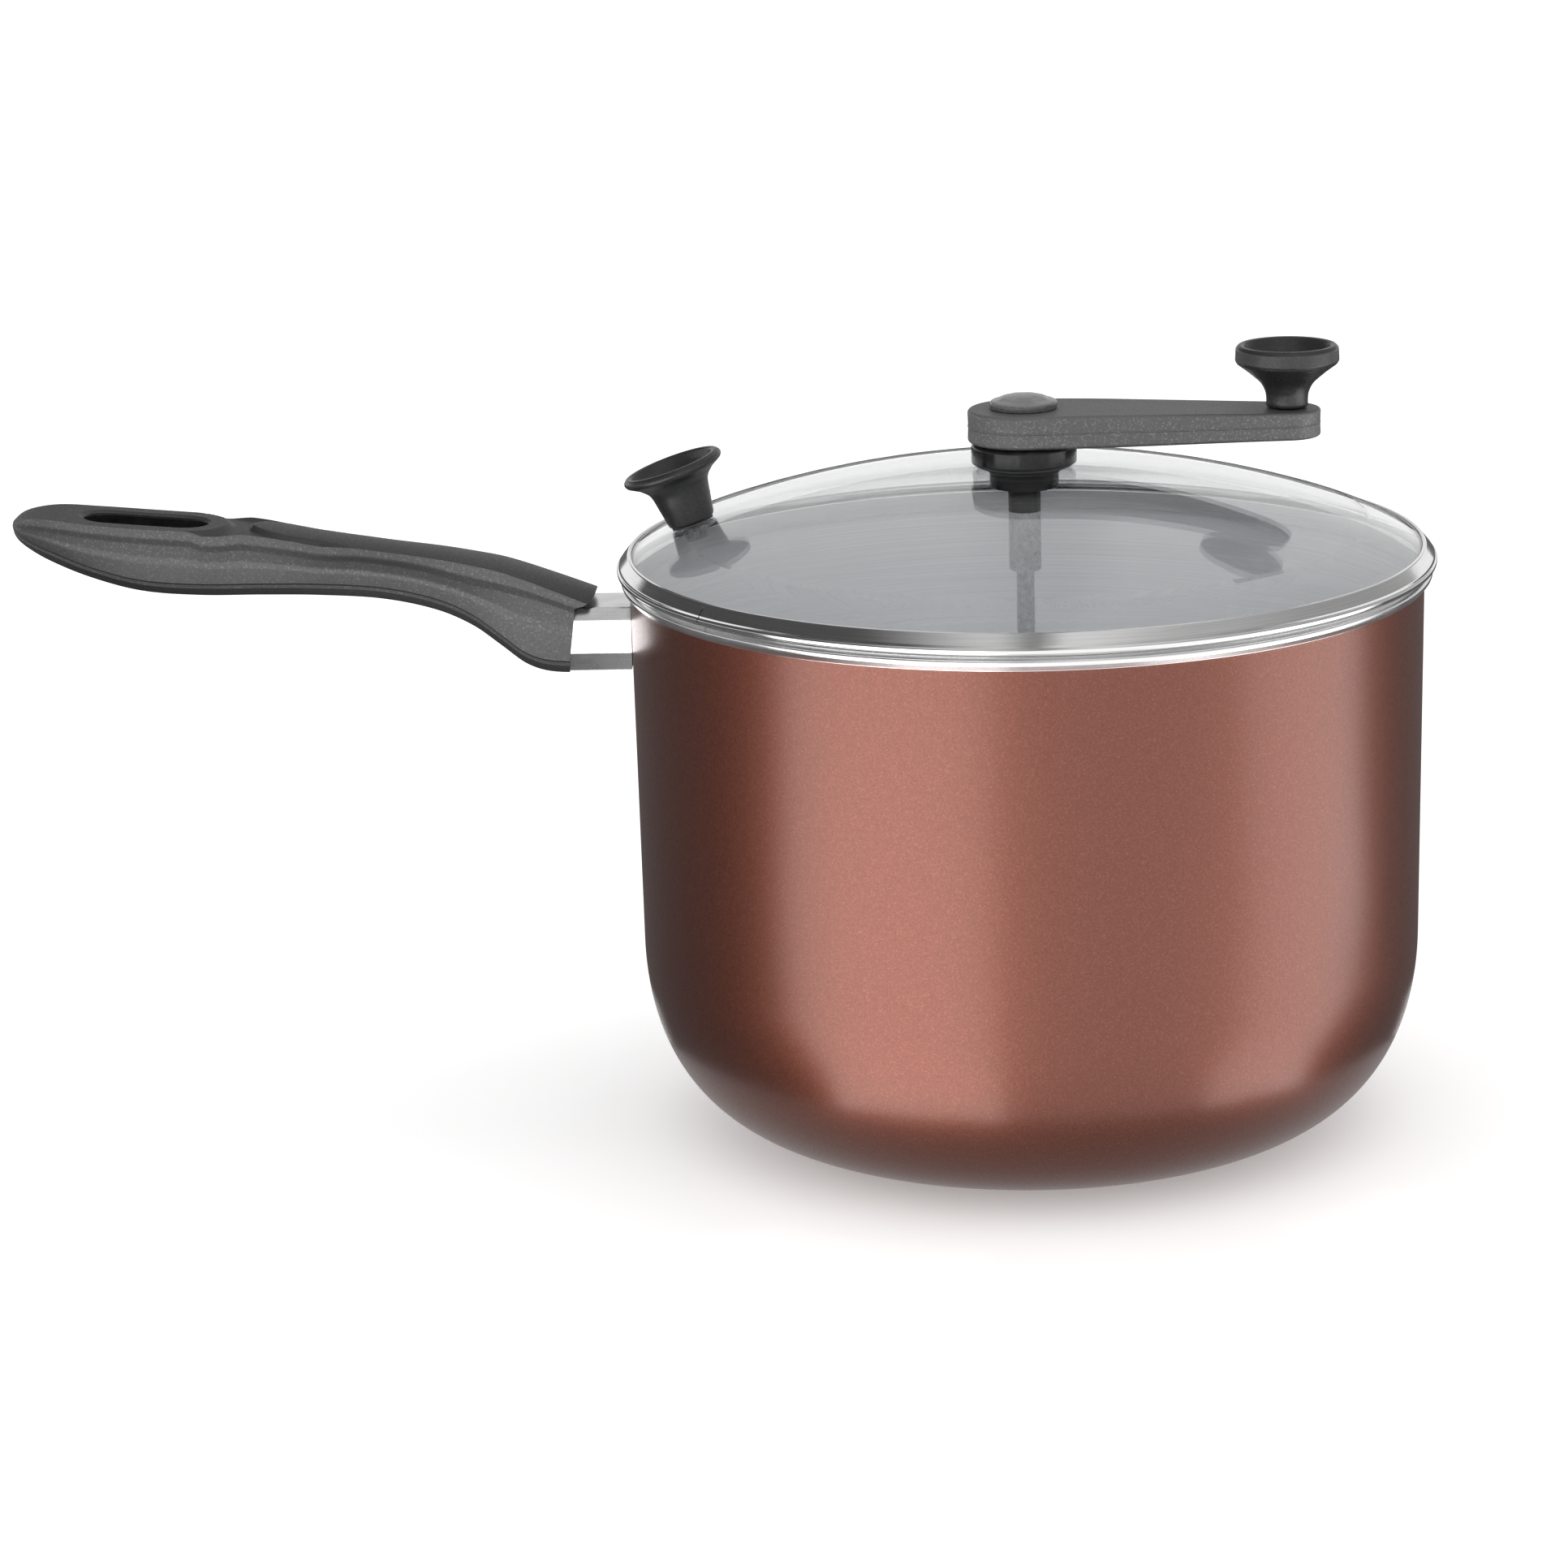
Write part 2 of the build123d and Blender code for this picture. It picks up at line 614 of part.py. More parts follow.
# Flanged bearing bush, its seals above and below the glass, and its nut
with BuildPart() as spindle_bush:
    with BuildSketch(Plane.XY.offset(FLANGE_Z)):
        Circle(FLANGE_R)
    extrude(amount=BUSH_TOP_Z - FLANGE_Z)
    fillet(spindle_bush.edges().group_by(Axis.Z)[-1], radius=1.2)
    fillet(spindle_bush.edges().group_by(Axis.Z)[0], radius=0.8)
    with BuildSketch(Plane.XY.offset(SLEEVE_Z)):
        Circle(SLEEVE_R)
    extrude(amount=FLANGE_Z - SLEEVE_Z + 0.1)
    with BuildSketch(Plane.XY.offset(SLEEVE_Z)):
        Circle(SPINDLE_R + RUN)
    extrude(amount=BUSH_TOP_Z - SLEEVE_Z, mode=Mode.SUBTRACT)
spindle_bush.part.label = "spindle_bush"
export_step(spindle_bush.part, "parts/spindle_bush.step")

with BuildPart() as bush_seal:
    with BuildSketch(Plane.XY.offset(DOME_APEX_Z + GAP)):
        Circle(FLANGE_R - 1.2)
        Circle(SLEEVE_R + GAP, mode=Mode.SUBTRACT)
    extrude(amount=SEAL_T - 2 * GAP)
bush_seal.part.label = "bush_seal"
export_step(bush_seal.part, "parts/bush_seal.step")

nut_seal_z = dome_z(NUT_R + 0.6, GLASS_T) - GAP
with BuildPart() as nut_seal:
    with BuildSketch(Plane.XY.offset(nut_seal_z)):
        Circle(NUT_R + 0.6)
        Circle(SLEEVE_R + GAP, mode=Mode.SUBTRACT)
    extrude(amount=-SEAL_T)
nut_seal.part.label = "nut_seal"
export_step(nut_seal.part, "parts/nut_seal.step")

# Round nut with spanner slots; its recess hides the spindle's retaining clip
with BuildPart() as bush_nut:
    with BuildSketch(Plane.XY.offset(NUT_Z)):
        Circle(NUT_R)
    extrude(amount=nut_seal_z - SEAL_T - GAP - NUT_Z)
    fillet(bush_nut.edges().group_by(Axis.Z)[0], radius=0.6)
    with BuildSketch(Plane.XY.offset(NUT_Z)):
        Circle(SLEEVE_R + GAP)
    extrude(amount=NUT_R, mode=Mode.SUBTRACT)
    with BuildSketch(Plane.XY.offset(NUT_Z)):
        Circle(NUT_RECESS_R)
    extrude(amount=NUT_RECESS_H, mode=Mode.SUBTRACT)
    with BuildSketch(Plane.XY.offset(NUT_Z)):
        with PolarLocations(NUT_R, 4, start_angle=45):
            Rectangle(1.6, 2.4)
    extrude(amount=1.6, mode=Mode.SUBTRACT)
bush_nut.part.label = "bush_nut"
export_step(bush_nut.part, "parts/bush_nut.step")

# ---------------------------------------------------------------- crank
# Moulded arm: round boss, tapering blade and round tip, thinner towards the tip
with BuildPart() as crank_arm:
    with BuildSketch(Plane.XY.offset(ARM_Z)):
        Circle(ARM_BOSS_R)
        with Locations((CRANK_REACH, 0)):
            Circle(ARM_TIP_R)
        make_hull()
    extrude(amount=ARM_T)
    with BuildSketch(Plane.XZ):
        with BuildLine():
            Polyline(
                (-ARM_BOSS_R - 1, ARM_Z),
                (CRANK_REACH + ARM_TIP_R, ARM_Z),
                (CRANK_REACH + ARM_TIP_R, ARM_TOP_Z - ARM_TIP_FALL),
                (CRANK_REACH - ARM_TIP_R, ARM_TOP_Z - ARM_TIP_FALL),
                (ARM_BOSS_R, ARM_TOP_Z),
                (-ARM_BOSS_R - 1, ARM_TOP_Z),
                close=True,
            )
        make_face()
    extrude(amount=ARM_BOSS_R + 1, both=True, mode=Mode.INTERSECT)
    chamfer(crank_arm.edges().filter_by(is_rim_edge), length=ARM_EDGE)
    with BuildSketch(Plane.XY.offset(ARM_Z)):
        Rectangle(SQUARE + 2 * GAP, SQUARE + 2 * GAP)
    extrude(amount=ARM_T, mode=Mode.SUBTRACT)
    with BuildSketch(Plane.XY.offset(ARM_TOP_Z)):
        Circle(ARM_POCKET_R)
    extrude(amount=-ARM_POCKET_H, mode=Mode.SUBTRACT)
    with BuildSketch(Plane.XY.offset(ARM_Z)):
        with Locations((CRANK_REACH, 0)):
            Circle(KNOB_PIN_FOOT_R + GAP)
    extrude(amount=ARM_T, mode=Mode.SUBTRACT)
crank_arm.part.label = "crank_arm"
export_step(crank_arm.part, "parts/crank_arm.step")

# Spindle: square head in the arm, round through the bush, stepped spigot in the rod's coupling
pocket_z = ARM_TOP_Z - ARM_POCKET_H
clip_z = SLEEVE_Z - APART - CLIP_T
spindle_pin_z = SPINDLE_FOOT_Z + PIN_RISE
with BuildPart() as drive_spindle:
    with BuildSketch(Plane.XY.offset(SPINDLE_FOOT_Z)):
        Circle(SPIGOT_R)
    extrude(amount=SPINDLE_END_Z - SPINDLE_FOOT_Z)
    with BuildSketch(Plane.XY.offset(SPINDLE_END_Z)):
        Circle(SPINDLE_R)
    extrude(amount=ARM_Z - GAP - SPINDLE_END_Z)
    with BuildSketch(Plane.XY.offset(ARM_Z - GAP)):
        Rectangle(SQUARE, SQUARE)
    extrude(amount=pocket_z - 0.2 - ARM_Z)
    with BuildSketch(Plane.XY.offset(pocket_z - CRANK_SCREW_L - 1)):
        Circle(SCREW_R + GAP)
    extrude(amount=CRANK_SCREW_L + 2, mode=Mode.SUBTRACT)
    with BuildSketch(Plane.XY.offset(clip_z - GAP)):
        Circle(SPINDLE_R + 1)
        Circle(CLIP_GROOVE_R, mode=Mode.SUBTRACT)
    extrude(amount=CLIP_T + 2 * GAP, mode=Mode.SUBTRACT)
    with BuildSketch(Plane.XZ.offset(-SPINDLE_R)):
        with Locations((0, spindle_pin_z)):
            Circle(PIN_R + GAP)
    extrude(amount=2 * SPINDLE_R, mode=Mode.SUBTRACT)
drive_spindle.part.label = "drive_spindle"
export_step(drive_spindle.part, "parts/drive_spindle.step")

# Open retaining clip in the spindle's groove, under the bush
with BuildPart() as spindle_clip:
    with BuildSketch(Plane.XY.offset(clip_z)):
        Circle(CLIP_R)
        Circle(CLIP_GROOVE_R + GAP, mode=Mode.SUBTRACT)
        with Locations((CLIP_R, 0)):
            Rectangle(2 * CLIP_R, 1.7 * CLIP_GROOVE_R, mode=Mode.SUBTRACT)
    extrude(amount=CLIP_T)
spindle_clip.part.label = "spindle_clip"
export_step(spindle_clip.part, "parts/spindle_clip.step")

# Washer, screw and cap in the arm's round pocket
with BuildPart() as crank_washer:
    with BuildSketch(Plane.XY.offset(pocket_z + GAP)):
        Circle(ARM_POCKET_R - 0.2)
        Circle(SCREW_HOLE_R, mode=Mode.SUBTRACT)
    extrude(amount=WASHER_T)
crank_washer.part.label = "crank_washer"
export_step(crank_washer.part, "parts/crank_washer.step")

crank_seat = Plane(origin=(0, 0, pocket_z + WASHER_T + 2 * GAP), z_dir=(0, 0, -1))
with BuildPart() as crank_screw:
    add(pan_screw(crank_seat, CRANK_SCREW_L))
crank_screw.part.label = "crank_screw"
export_step(crank_screw.part, "parts/crank_screw.step")

with BuildPart() as crank_cap:
    with BuildSketch(Plane.XZ):
        with BuildLine():
            Line((0, ARM_TOP_Z + GAP), (CAP_R, ARM_TOP_Z + GAP))
            Line((CAP_R, ARM_TOP_Z + GAP), (CAP_R - 0.3, ARM_TOP_Z + CAP_SIDE_H))
            Line((CAP_R - 0.3, ARM_TOP_Z + CAP_SIDE_H), (CAP_R - 1.0, ARM_TOP_Z + CAP_SIDE_H + 0.4))
            Spline(
                (CAP_R - 1.0, ARM_TOP_Z + CAP_SIDE_H + 0.4),
                (0, ARM_TOP_Z + CAP_H),
                tangents=((-1, 0.3), (-1, 0)),
            )
            Line((0, ARM_TOP_Z + CAP_H), (0, ARM_TOP_Z + GAP))
        make_face()
    revolve(axis=Axis.Z)
    with BuildSketch(Plane.XY.offset(ARM_TOP_Z + 0.5)):
        Circle(ARM_POCKET_R - GAP)
        Circle(ARM_POCKET_R - CAP_SKIRT_T, mode=Mode.SUBTRACT)
    extrude(amount=-CAP_SKIRT_H - 0.5)
crank_cap.part.label = "crank_cap"
export_step(crank_cap.part, "parts/crank_cap.step")

# Knob that spins on a shoulder pin; the pin's head stands in the dished top
knob_z = ARM_TOP_Z - ARM_TIP_FALL + APART
with BuildPart() as knob_upright:
    with BuildSketch(Plane.XZ):
        add(knob_outline(KNOB_STEM, KNOB_RIM_Z, KNOB_H, KNOB_PIN_R + RUN))
    revolve(axis=Axis.Z)

with BuildPart() as crank_knob:
    add(Location((CRANK_REACH, 0, knob_z)) * knob_upright.part)
crank_knob.part.label = "crank_knob"
export_step(crank_knob.part, "parts/crank_knob.step")

pin_seat = Plane(origin=(CRANK_REACH, 0, ARM_TOP_Z - ARM_TIP_FALL + GAP))
with BuildPart() as knob_pin:
    with BuildSketch(pin_seat.offset(-ARM_T + ARM_TIP_FALL)):
        Circle(KNOB_PIN_FOOT_R)
    extrude(amount=ARM_T)
    with BuildSketch(pin_seat):
        Circle(KNOB_PIN_R)
    extrude(amount=KNOB_CUP_Z + 2 * APART)
    with BuildSketch(pin_seat.offset(KNOB_CUP_Z + 2 * APART)):
        Circle(KNOB_PIN_HEAD_R)
    extrude(amount=KNOB_PIN_HEAD_H, taper=HEAD_TAPER)
    with BuildSketch(pin_seat.offset(KNOB_CUP_Z + 2 * APART + KNOB_PIN_HEAD_H / 2)):
        Rectangle(KNOB_PIN_HEAD_R, CROSS_W)
    extrude(amount=KNOB_PIN_HEAD_H, mode=Mode.SUBTRACT)
knob_pin.part.label = "knob_pin"
export_step(knob_pin.part, "parts/knob_pin.step")

# ---------------------------------------------------------------- stirrer
# Tube that joins the rod to the spindle, with a pin through each
rod_top_z = SPINDLE_FOOT_Z - 0.5
coupling_pin_spots = [(0, COUPLING_Z + PIN_RISE), (0, spindle_pin_z)]
with BuildPart() as rod_coupling:
    with BuildSketch(Plane.XY.offset(COUPLING_Z)):
        Circle(SPINDLE_R)
    extrude(amount=SPINDLE_END_Z - GAP - COUPLING_Z)
    chamfer(rod_coupling.edges().group_by(Axis.Z)[0], length=0.6)
    with BuildSketch(Plane.XY.offset(COUPLING_Z)):
        Circle(ROD_R + GAP)
    extrude(amount=PAST, mode=Mode.SUBTRACT)
    with BuildSketch(Plane.XY.offset(SPINDLE_FOOT_Z - GAP)):
        Circle(SPIGOT_R + GAP)
    extrude(amount=PAST, mode=Mode.SUBTRACT)
    with BuildSketch(Plane.XZ.offset(-SPINDLE_R)):
        with Locations(*coupling_pin_spots):
            Circle(PIN_R + GAP)
    extrude(amount=2 * SPINDLE_R, mode=Mode.SUBTRACT)
rod_coupling.part.label = "rod_coupling"
export_step(rod_coupling.part, "parts/rod_coupling.step")

with BuildPart() as coupling_pins:
    with BuildSketch(Plane.XZ.offset(-SPINDLE_R)):
        with Locations(*coupling_pin_spots):
            Circle(PIN_R)
    extrude(amount=2 * SPINDLE_R)
coupling_pins.part.label = "coupling_pins"
export_step(coupling_pins.part, "parts/coupling_pins.step")

with BuildPart() as stirrer_rod:
    with BuildSketch(Plane.XY.offset(HUB_Z)):
        Circle(ROD_R)
    extrude(amount=rod_top_z - HUB_Z)
    with BuildSketch(Plane.XZ.offset(-SPINDLE_R)):
        with Locations(coupling_pin_spots[0]):
            Circle(PIN_R + GAP)
    extrude(amount=2 * SPINDLE_R, mode=Mode.SUBTRACT)
stirrer_rod.part.label = "stirrer_rod"
export_step(stirrer_rod.part, "parts/stirrer_rod.step")

# Hub at the foot of the rod, with a set screw and a hole for each wire
hub_screw_z = HUB_Z + HUB_SCREW_RISE
with BuildPart() as stirrer_hub:
    with BuildSketch(Plane.XY.offset(HUB_Z)):
        Circle(HUB_R)
    extrude(amount=HUB_H)
    chamfer(stirrer_hub.edges().filter_by(GeomType.CIRCLE), length=0.8)
    with BuildSketch(Plane.XY.offset(HUB_Z)):
        Circle(ROD_R + GAP)
    extrude(amount=HUB_H, mode=Mode.SUBTRACT)
    with BuildSketch(Plane.YZ):
        with Locations((0, LONG_WIRE_Z)):
            Circle(WIRE_R + GAP)
    extrude(amount=HUB_R + 1, mode=Mode.SUBTRACT)
    with BuildSketch(Plane.YZ):
        with Locations((0, SHORT_WIRE_Z)):
            Circle(WIRE_R + GAP)
    extrude(amount=-HUB_R - 1, mode=Mode.SUBTRACT)
    with BuildSketch(Plane.XZ):
        with Locations((0, hub_screw_z)):
            Circle(SCREW_R + GAP)
    extrude(amount=HUB_R + 1, mode=Mode.SUBTRACT)
stirrer_hub.part.label = "stirrer_hub"
export_step(stirrer_hub.part, "parts/stirrer_hub.step")

with BuildPart() as hub_set_screw:
    with BuildSketch(Plane.XZ.offset(ROD_R + GAP)):
        with Locations((0, hub_screw_z)):
            Circle(SCREW_R)
    extrude(amount=HUB_R - ROD_R)
    with BuildSketch(Plane.XZ.offset(HUB_R)):
        with Locations((0, hub_screw_z)):
            RegularPolygon(HEX_R, 6)
    extrude(amount=-2 * HEX_R, mode=Mode.SUBTRACT)
hub_set_screw.part.label = "hub_set_screw"
export_step(hub_set_screw.part, "parts/hub_set_screw.step")

# Wires: the long one sweeps the floor and rises round the corner, the short one stirs above it
with BuildPart() as long_wire:
    with BuildLine() as long_path:
        FilletPolyline(*[(x, 0, z) for x, z in LONG_ROUTE], radius=LONG_BENDS)
    with BuildSketch(Plane.YZ.offset(WIRE_START)):
        with Locations((0, LONG_WIRE_Z)):
            Circle(WIRE_R)
    sweep()
long_wire.part.label = "long_wire"
export_step(long_wire.part, "parts/long_wire.step")

with BuildPart() as short_wire:
    with BuildLine() as short_path:
        FilletPolyline(*[(x, 0, z) for x, z in SHORT_ROUTE], radius=SHORT_BENDS)
    with BuildSketch(Plane.YZ.offset(-WIRE_START)):
        with Locations((0, SHORT_WIRE_Z)):
            Circle(WIRE_R)
    sweep()
short_wire.part.label = "short_wire"
export_step(short_wire.part, "parts/short_wire.step")
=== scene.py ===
"""Looks of the stove-top popcorn maker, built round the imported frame.

The frame is in metres, +Z up, with the origin at the centre of the pot's base and the handle along -X.
Shapes below are worked out in millimetres and turned into metres as each mesh is made.
"""

import json
import math

import bmesh
import bpy
from mathutils import Matrix, Vector


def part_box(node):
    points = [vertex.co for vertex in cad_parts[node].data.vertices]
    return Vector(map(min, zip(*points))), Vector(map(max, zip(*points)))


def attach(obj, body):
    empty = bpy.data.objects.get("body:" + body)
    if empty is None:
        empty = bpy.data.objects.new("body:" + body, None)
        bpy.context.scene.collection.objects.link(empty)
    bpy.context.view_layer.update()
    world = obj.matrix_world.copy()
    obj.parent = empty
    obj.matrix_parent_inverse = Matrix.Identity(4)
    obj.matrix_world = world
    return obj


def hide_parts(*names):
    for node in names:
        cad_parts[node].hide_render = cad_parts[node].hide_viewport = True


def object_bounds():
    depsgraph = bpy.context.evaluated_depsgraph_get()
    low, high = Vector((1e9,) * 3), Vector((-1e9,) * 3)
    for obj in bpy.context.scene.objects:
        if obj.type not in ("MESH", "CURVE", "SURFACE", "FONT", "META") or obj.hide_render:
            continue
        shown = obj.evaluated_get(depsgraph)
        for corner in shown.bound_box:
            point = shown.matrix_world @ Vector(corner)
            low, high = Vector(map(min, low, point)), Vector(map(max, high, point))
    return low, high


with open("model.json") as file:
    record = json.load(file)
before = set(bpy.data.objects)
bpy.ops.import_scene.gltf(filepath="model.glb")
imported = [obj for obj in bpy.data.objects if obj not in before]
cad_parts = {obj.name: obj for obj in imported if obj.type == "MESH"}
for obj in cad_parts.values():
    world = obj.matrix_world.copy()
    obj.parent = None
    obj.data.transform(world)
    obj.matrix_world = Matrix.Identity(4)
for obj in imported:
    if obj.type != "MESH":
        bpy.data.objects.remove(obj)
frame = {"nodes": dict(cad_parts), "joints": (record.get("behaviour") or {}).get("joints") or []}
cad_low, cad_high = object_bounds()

MM = 0.001
NODES = frame["nodes"]
JOINTS = {joint["name"]: joint for joint in frame["joints"]}


# ---------------------------------------------------------------- shapes in the plane
NEARLY_STRAIGHT = math.radians(179)
MOST_TRIM = 0.45  # share of a side that one rounded corner may use up


def soften(points, radii, steps):
    """An open outline with its inner corners rounded; radii gives one radius for each inner point."""
    made = [Vector(points[0])]
    for i in range(1, len(points) - 1):
        corner = Vector(points[i])
        back = Vector(points[i - 1]) - corner
        ahead = Vector(points[i + 1]) - corner
        turn = back.angle(ahead)
        if turn > NEARLY_STRAIGHT:
            made.append(corner)
            continue
        reach = min(radii[i - 1] / math.tan(turn / 2), MOST_TRIM * back.length, MOST_TRIM * ahead.length)
        start = corner + back.normalized() * reach
        end = corner + ahead.normalized() * reach
        for k in range(steps + 1):
            t = k / steps
            made.append(start * (1 - t) ** 2 + corner * 2 * t * (1 - t) + end * t**2)
    made.append(Vector(points[-1]))
    return [tuple(p) for p in made]


def curve_through(points, steps=8):
    """A smooth open curve through the points, by Catmull-Rom spans."""
    spans = [Vector(p) for p in points]
    spans = [2 * spans[0] - spans[1]] + spans + [2 * spans[-1] - spans[-2]]
    made = []
    for a, b, c, d in zip(spans, spans[1:], spans[2:], spans[3:]):
        for k in range(steps):
            t = k / steps
            square, cube = 2 * a - 5 * b + 4 * c - d, 3 * b - a - 3 * c + d
            made.append(0.5 * (2 * b + (c - a) * t + square * t**2 + cube * t**3))
    made.append(spans[-2])
    return [tuple(p) for p in made]


def bezier(a, b, c, d, steps):
    """Points of a cubic curve with handles b and c."""
    a, b, c, d = Vector(a), Vector(b), Vector(c), Vector(d)
    made = []
    for k in range(steps + 1):
        t = k / steps
        u = 1 - t
        made.append(tuple(a * u**3 + b * 3 * u**2 * t + c * 3 * u * t**2 + d * t**3))
    return made


def between(x, table):
    """Smooth value at x of a table of (x, value) pairs in rising x."""
    if x <= table[0][0]:
        return table[0][1]
    if x >= table[-1][0]:
        return table[-1][1]
    for i in range(len(table) - 1):
        (x0, v0), (x1, v1) = table[i], table[i + 1]
        if x <= x1:
            break
    before = table[max(i - 1, 0)]
    after = table[min(i + 2, len(table) - 1)]
    slope0 = (v1 - before[1]) / (x1 - before[0])
    slope1 = (after[1] - v0) / (after[0] - x0)
    span = x1 - x0
    t = (x - x0) / span
    return (
        v0 * (1 + 2 * t) * (1 - t) ** 2
        + slope0 * span * t * (1 - t) ** 2
        + v1 * t**2 * (3 - 2 * t)
        - slope1 * span * t**2 * (1 - t)
    )


def straight_run(start, end, parts):
    """The points that divide a straight line into equal parts, without its ends."""
    start, end = Vector(start), Vector(end)
    return [tuple(start.lerp(end, k / parts)) for k in range(1, parts)]


def ease(x, start, end):
    """0 before start, 1 after end, smooth between them."""
    t = min(max((x - start) / (end - start), 0.0), 1.0)
    return t * t * (3 - 2 * t)


# ---------------------------------------------------------------- meshes
WELD = 1e-5
SAME_POINT = 1e-6
FACE_SIZE_WEIGHT = 80  # how much large faces lead the shading of the edges beside them


def finish_mesh(name, bm, body, materials, sharp, weighted=True):
    """A piece from a bmesh in millimetres: smooth faces, sharp edges above an angle, riding on a body."""
    bmesh.ops.remove_doubles(bm, verts=bm.verts, dist=WELD)
    bmesh.ops.recalc_face_normals(bm, faces=bm.faces)
    bmesh.ops.scale(bm, vec=(MM, MM, MM), verts=bm.verts)
    mesh = bpy.data.meshes.new(name)
    bm.to_mesh(mesh)
    bm.free()
    for face in mesh.polygons:
        face.use_smooth = True
    mesh.set_sharp_from_angle(angle=math.radians(sharp))
    for material in materials:
        mesh.materials.append(material)
    piece = bpy.data.objects.new(name, mesh)
    bpy.context.scene.collection.objects.link(piece)
    if weighted:
        even = piece.modifiers.new("even_normals", "WEIGHTED_NORMAL")
        even.keep_sharp = True
        even.weight = FACE_SIZE_WEIGHT
    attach(piece, body)
    return piece


def lathe(runs, steps=192, sweep=(0.0, 360.0), place=Matrix.Identity(4)):
    """A bmesh turned about Z. runs is a list of (material index, [(radius, height), ...]) that join end to
    end into a closed outline. A sweep under 360 degrees is closed by a face at each end."""
    outline, slots = [], []
    for slot, points in runs:
        for point in points:
            if outline and (Vector(point) - Vector(outline[-1])).length < SAME_POINT:
                continue
            outline.append(tuple(point))
            slots.append(slot)
    if (Vector(outline[0]) - Vector(outline[-1])).length < SAME_POINT:
        outline.pop()
        slots.pop()
    whole = sweep[1] - sweep[0] >= 360
    columns = steps if whole else steps + 1
    lengths = [0.0]
    for p, q in zip(outline, outline[1:] + outline[:1]):
        lengths.append(lengths[-1] + math.dist(p, q))
    round_r = max(p[0] for p in outline)
    bm = bmesh.new()
    uv = bm.loops.layers.uv.new("UVMap")
    rings = []
    for k in range(columns):
        angle = math.radians(sweep[0] + (sweep[1] - sweep[0]) * k / steps)
        x, y = math.cos(angle), math.sin(angle)
        rings.append([bm.verts.new(place @ Vector((r * x, r * y, z))) for r, z in outline])
    count = len(outline)
    for k in range(steps):
        here, there = rings[k], rings[(k + 1) % columns]
        turn = [math.radians(sweep[1] - sweep[0]) * (k + j) / steps * round_r for j in (0, 1)]
        for i in range(count):
            j = (i + 1) % count
            corners = [(here[i], 0, i), (here[j], 0, i + 1), (there[j], 1, i + 1), (there[i], 1, i)]
            on_axis, next_on_axis = outline[i][0] < SAME_POINT, outline[j][0] < SAME_POINT
            if on_axis and next_on_axis:
                continue
            if on_axis:
                corners.pop(3)
            elif next_on_axis:
                corners.pop(2)
            face = bm.faces.new([c[0] for c in corners])
            face.material_index = slots[j]
            for loop, (_, side, step) in zip(face.loops, corners):
                loop[uv].uv = (turn[side] * MM, lengths[step] * MM)
    if not whole:
        bm.faces.new(rings[0])
        bm.faces.new(list(reversed(rings[-1])))
    return bm


def loft(rings):
    """A closed bmesh through rings of equal length, each a list of 3-D points, with a face at each end."""
    bm = bmesh.new()
    made = [[bm.verts.new(p) for p in ring] for ring in rings]
    count = len(rings[0])
    for here, there in zip(made, made[1:]):
        for i in range(count):
            j = (i + 1) % count
            bm.faces.new((here[i], here[j], there[j], there[i]))
    bm.faces.new(made[0])
    bm.faces.new(list(reversed(made[-1])))
    bmesh.ops.recalc_face_normals(bm, faces=bm.faces)
    return bm


def cut(bm, cutters):
    """The bmesh with each cutter bmesh taken away from it, as a new bmesh."""
    scratch = []
    for index, source in enumerate([bm, *cutters]):
        mesh = bpy.data.meshes.new(f"scratch_{index}")
        source.to_mesh(mesh)
        source.free()
        item = bpy.data.objects.new(f"scratch_{index}", mesh)
        bpy.context.scene.collection.objects.link(item)
        scratch.append(item)
    for item in scratch[1:]:
        step = scratch[0].modifiers.new("cut", "BOOLEAN")
        step.operation = "DIFFERENCE"
        step.solver = "EXACT"
        step.object = item
    bpy.context.view_layer.update()
    shaped = scratch[0].evaluated_get(bpy.context.evaluated_depsgraph_get())
    made = bmesh.new()
    made.from_mesh(shaped.to_mesh())
    shaped.to_mesh_clear()
    for item in scratch:
        mesh = item.data
        bpy.data.objects.remove(item)
        bpy.data.meshes.remove(mesh)
    return made


def disc_ring(centre, radius, height, steps=64):
    """A level ring of points."""
    turns = [2 * math.pi * k / steps for k in range(steps)]
    return [(centre[0] + radius * math.cos(a), centre[1] + radius * math.sin(a), height) for a in turns]


# ---------------------------------------------------------------- materials
WHITE = (1, 1, 1, 1)


def times(colour, factor):
    """A colour made darker or lighter, up to white."""
    return tuple(min(c * factor, 1) for c in colour)


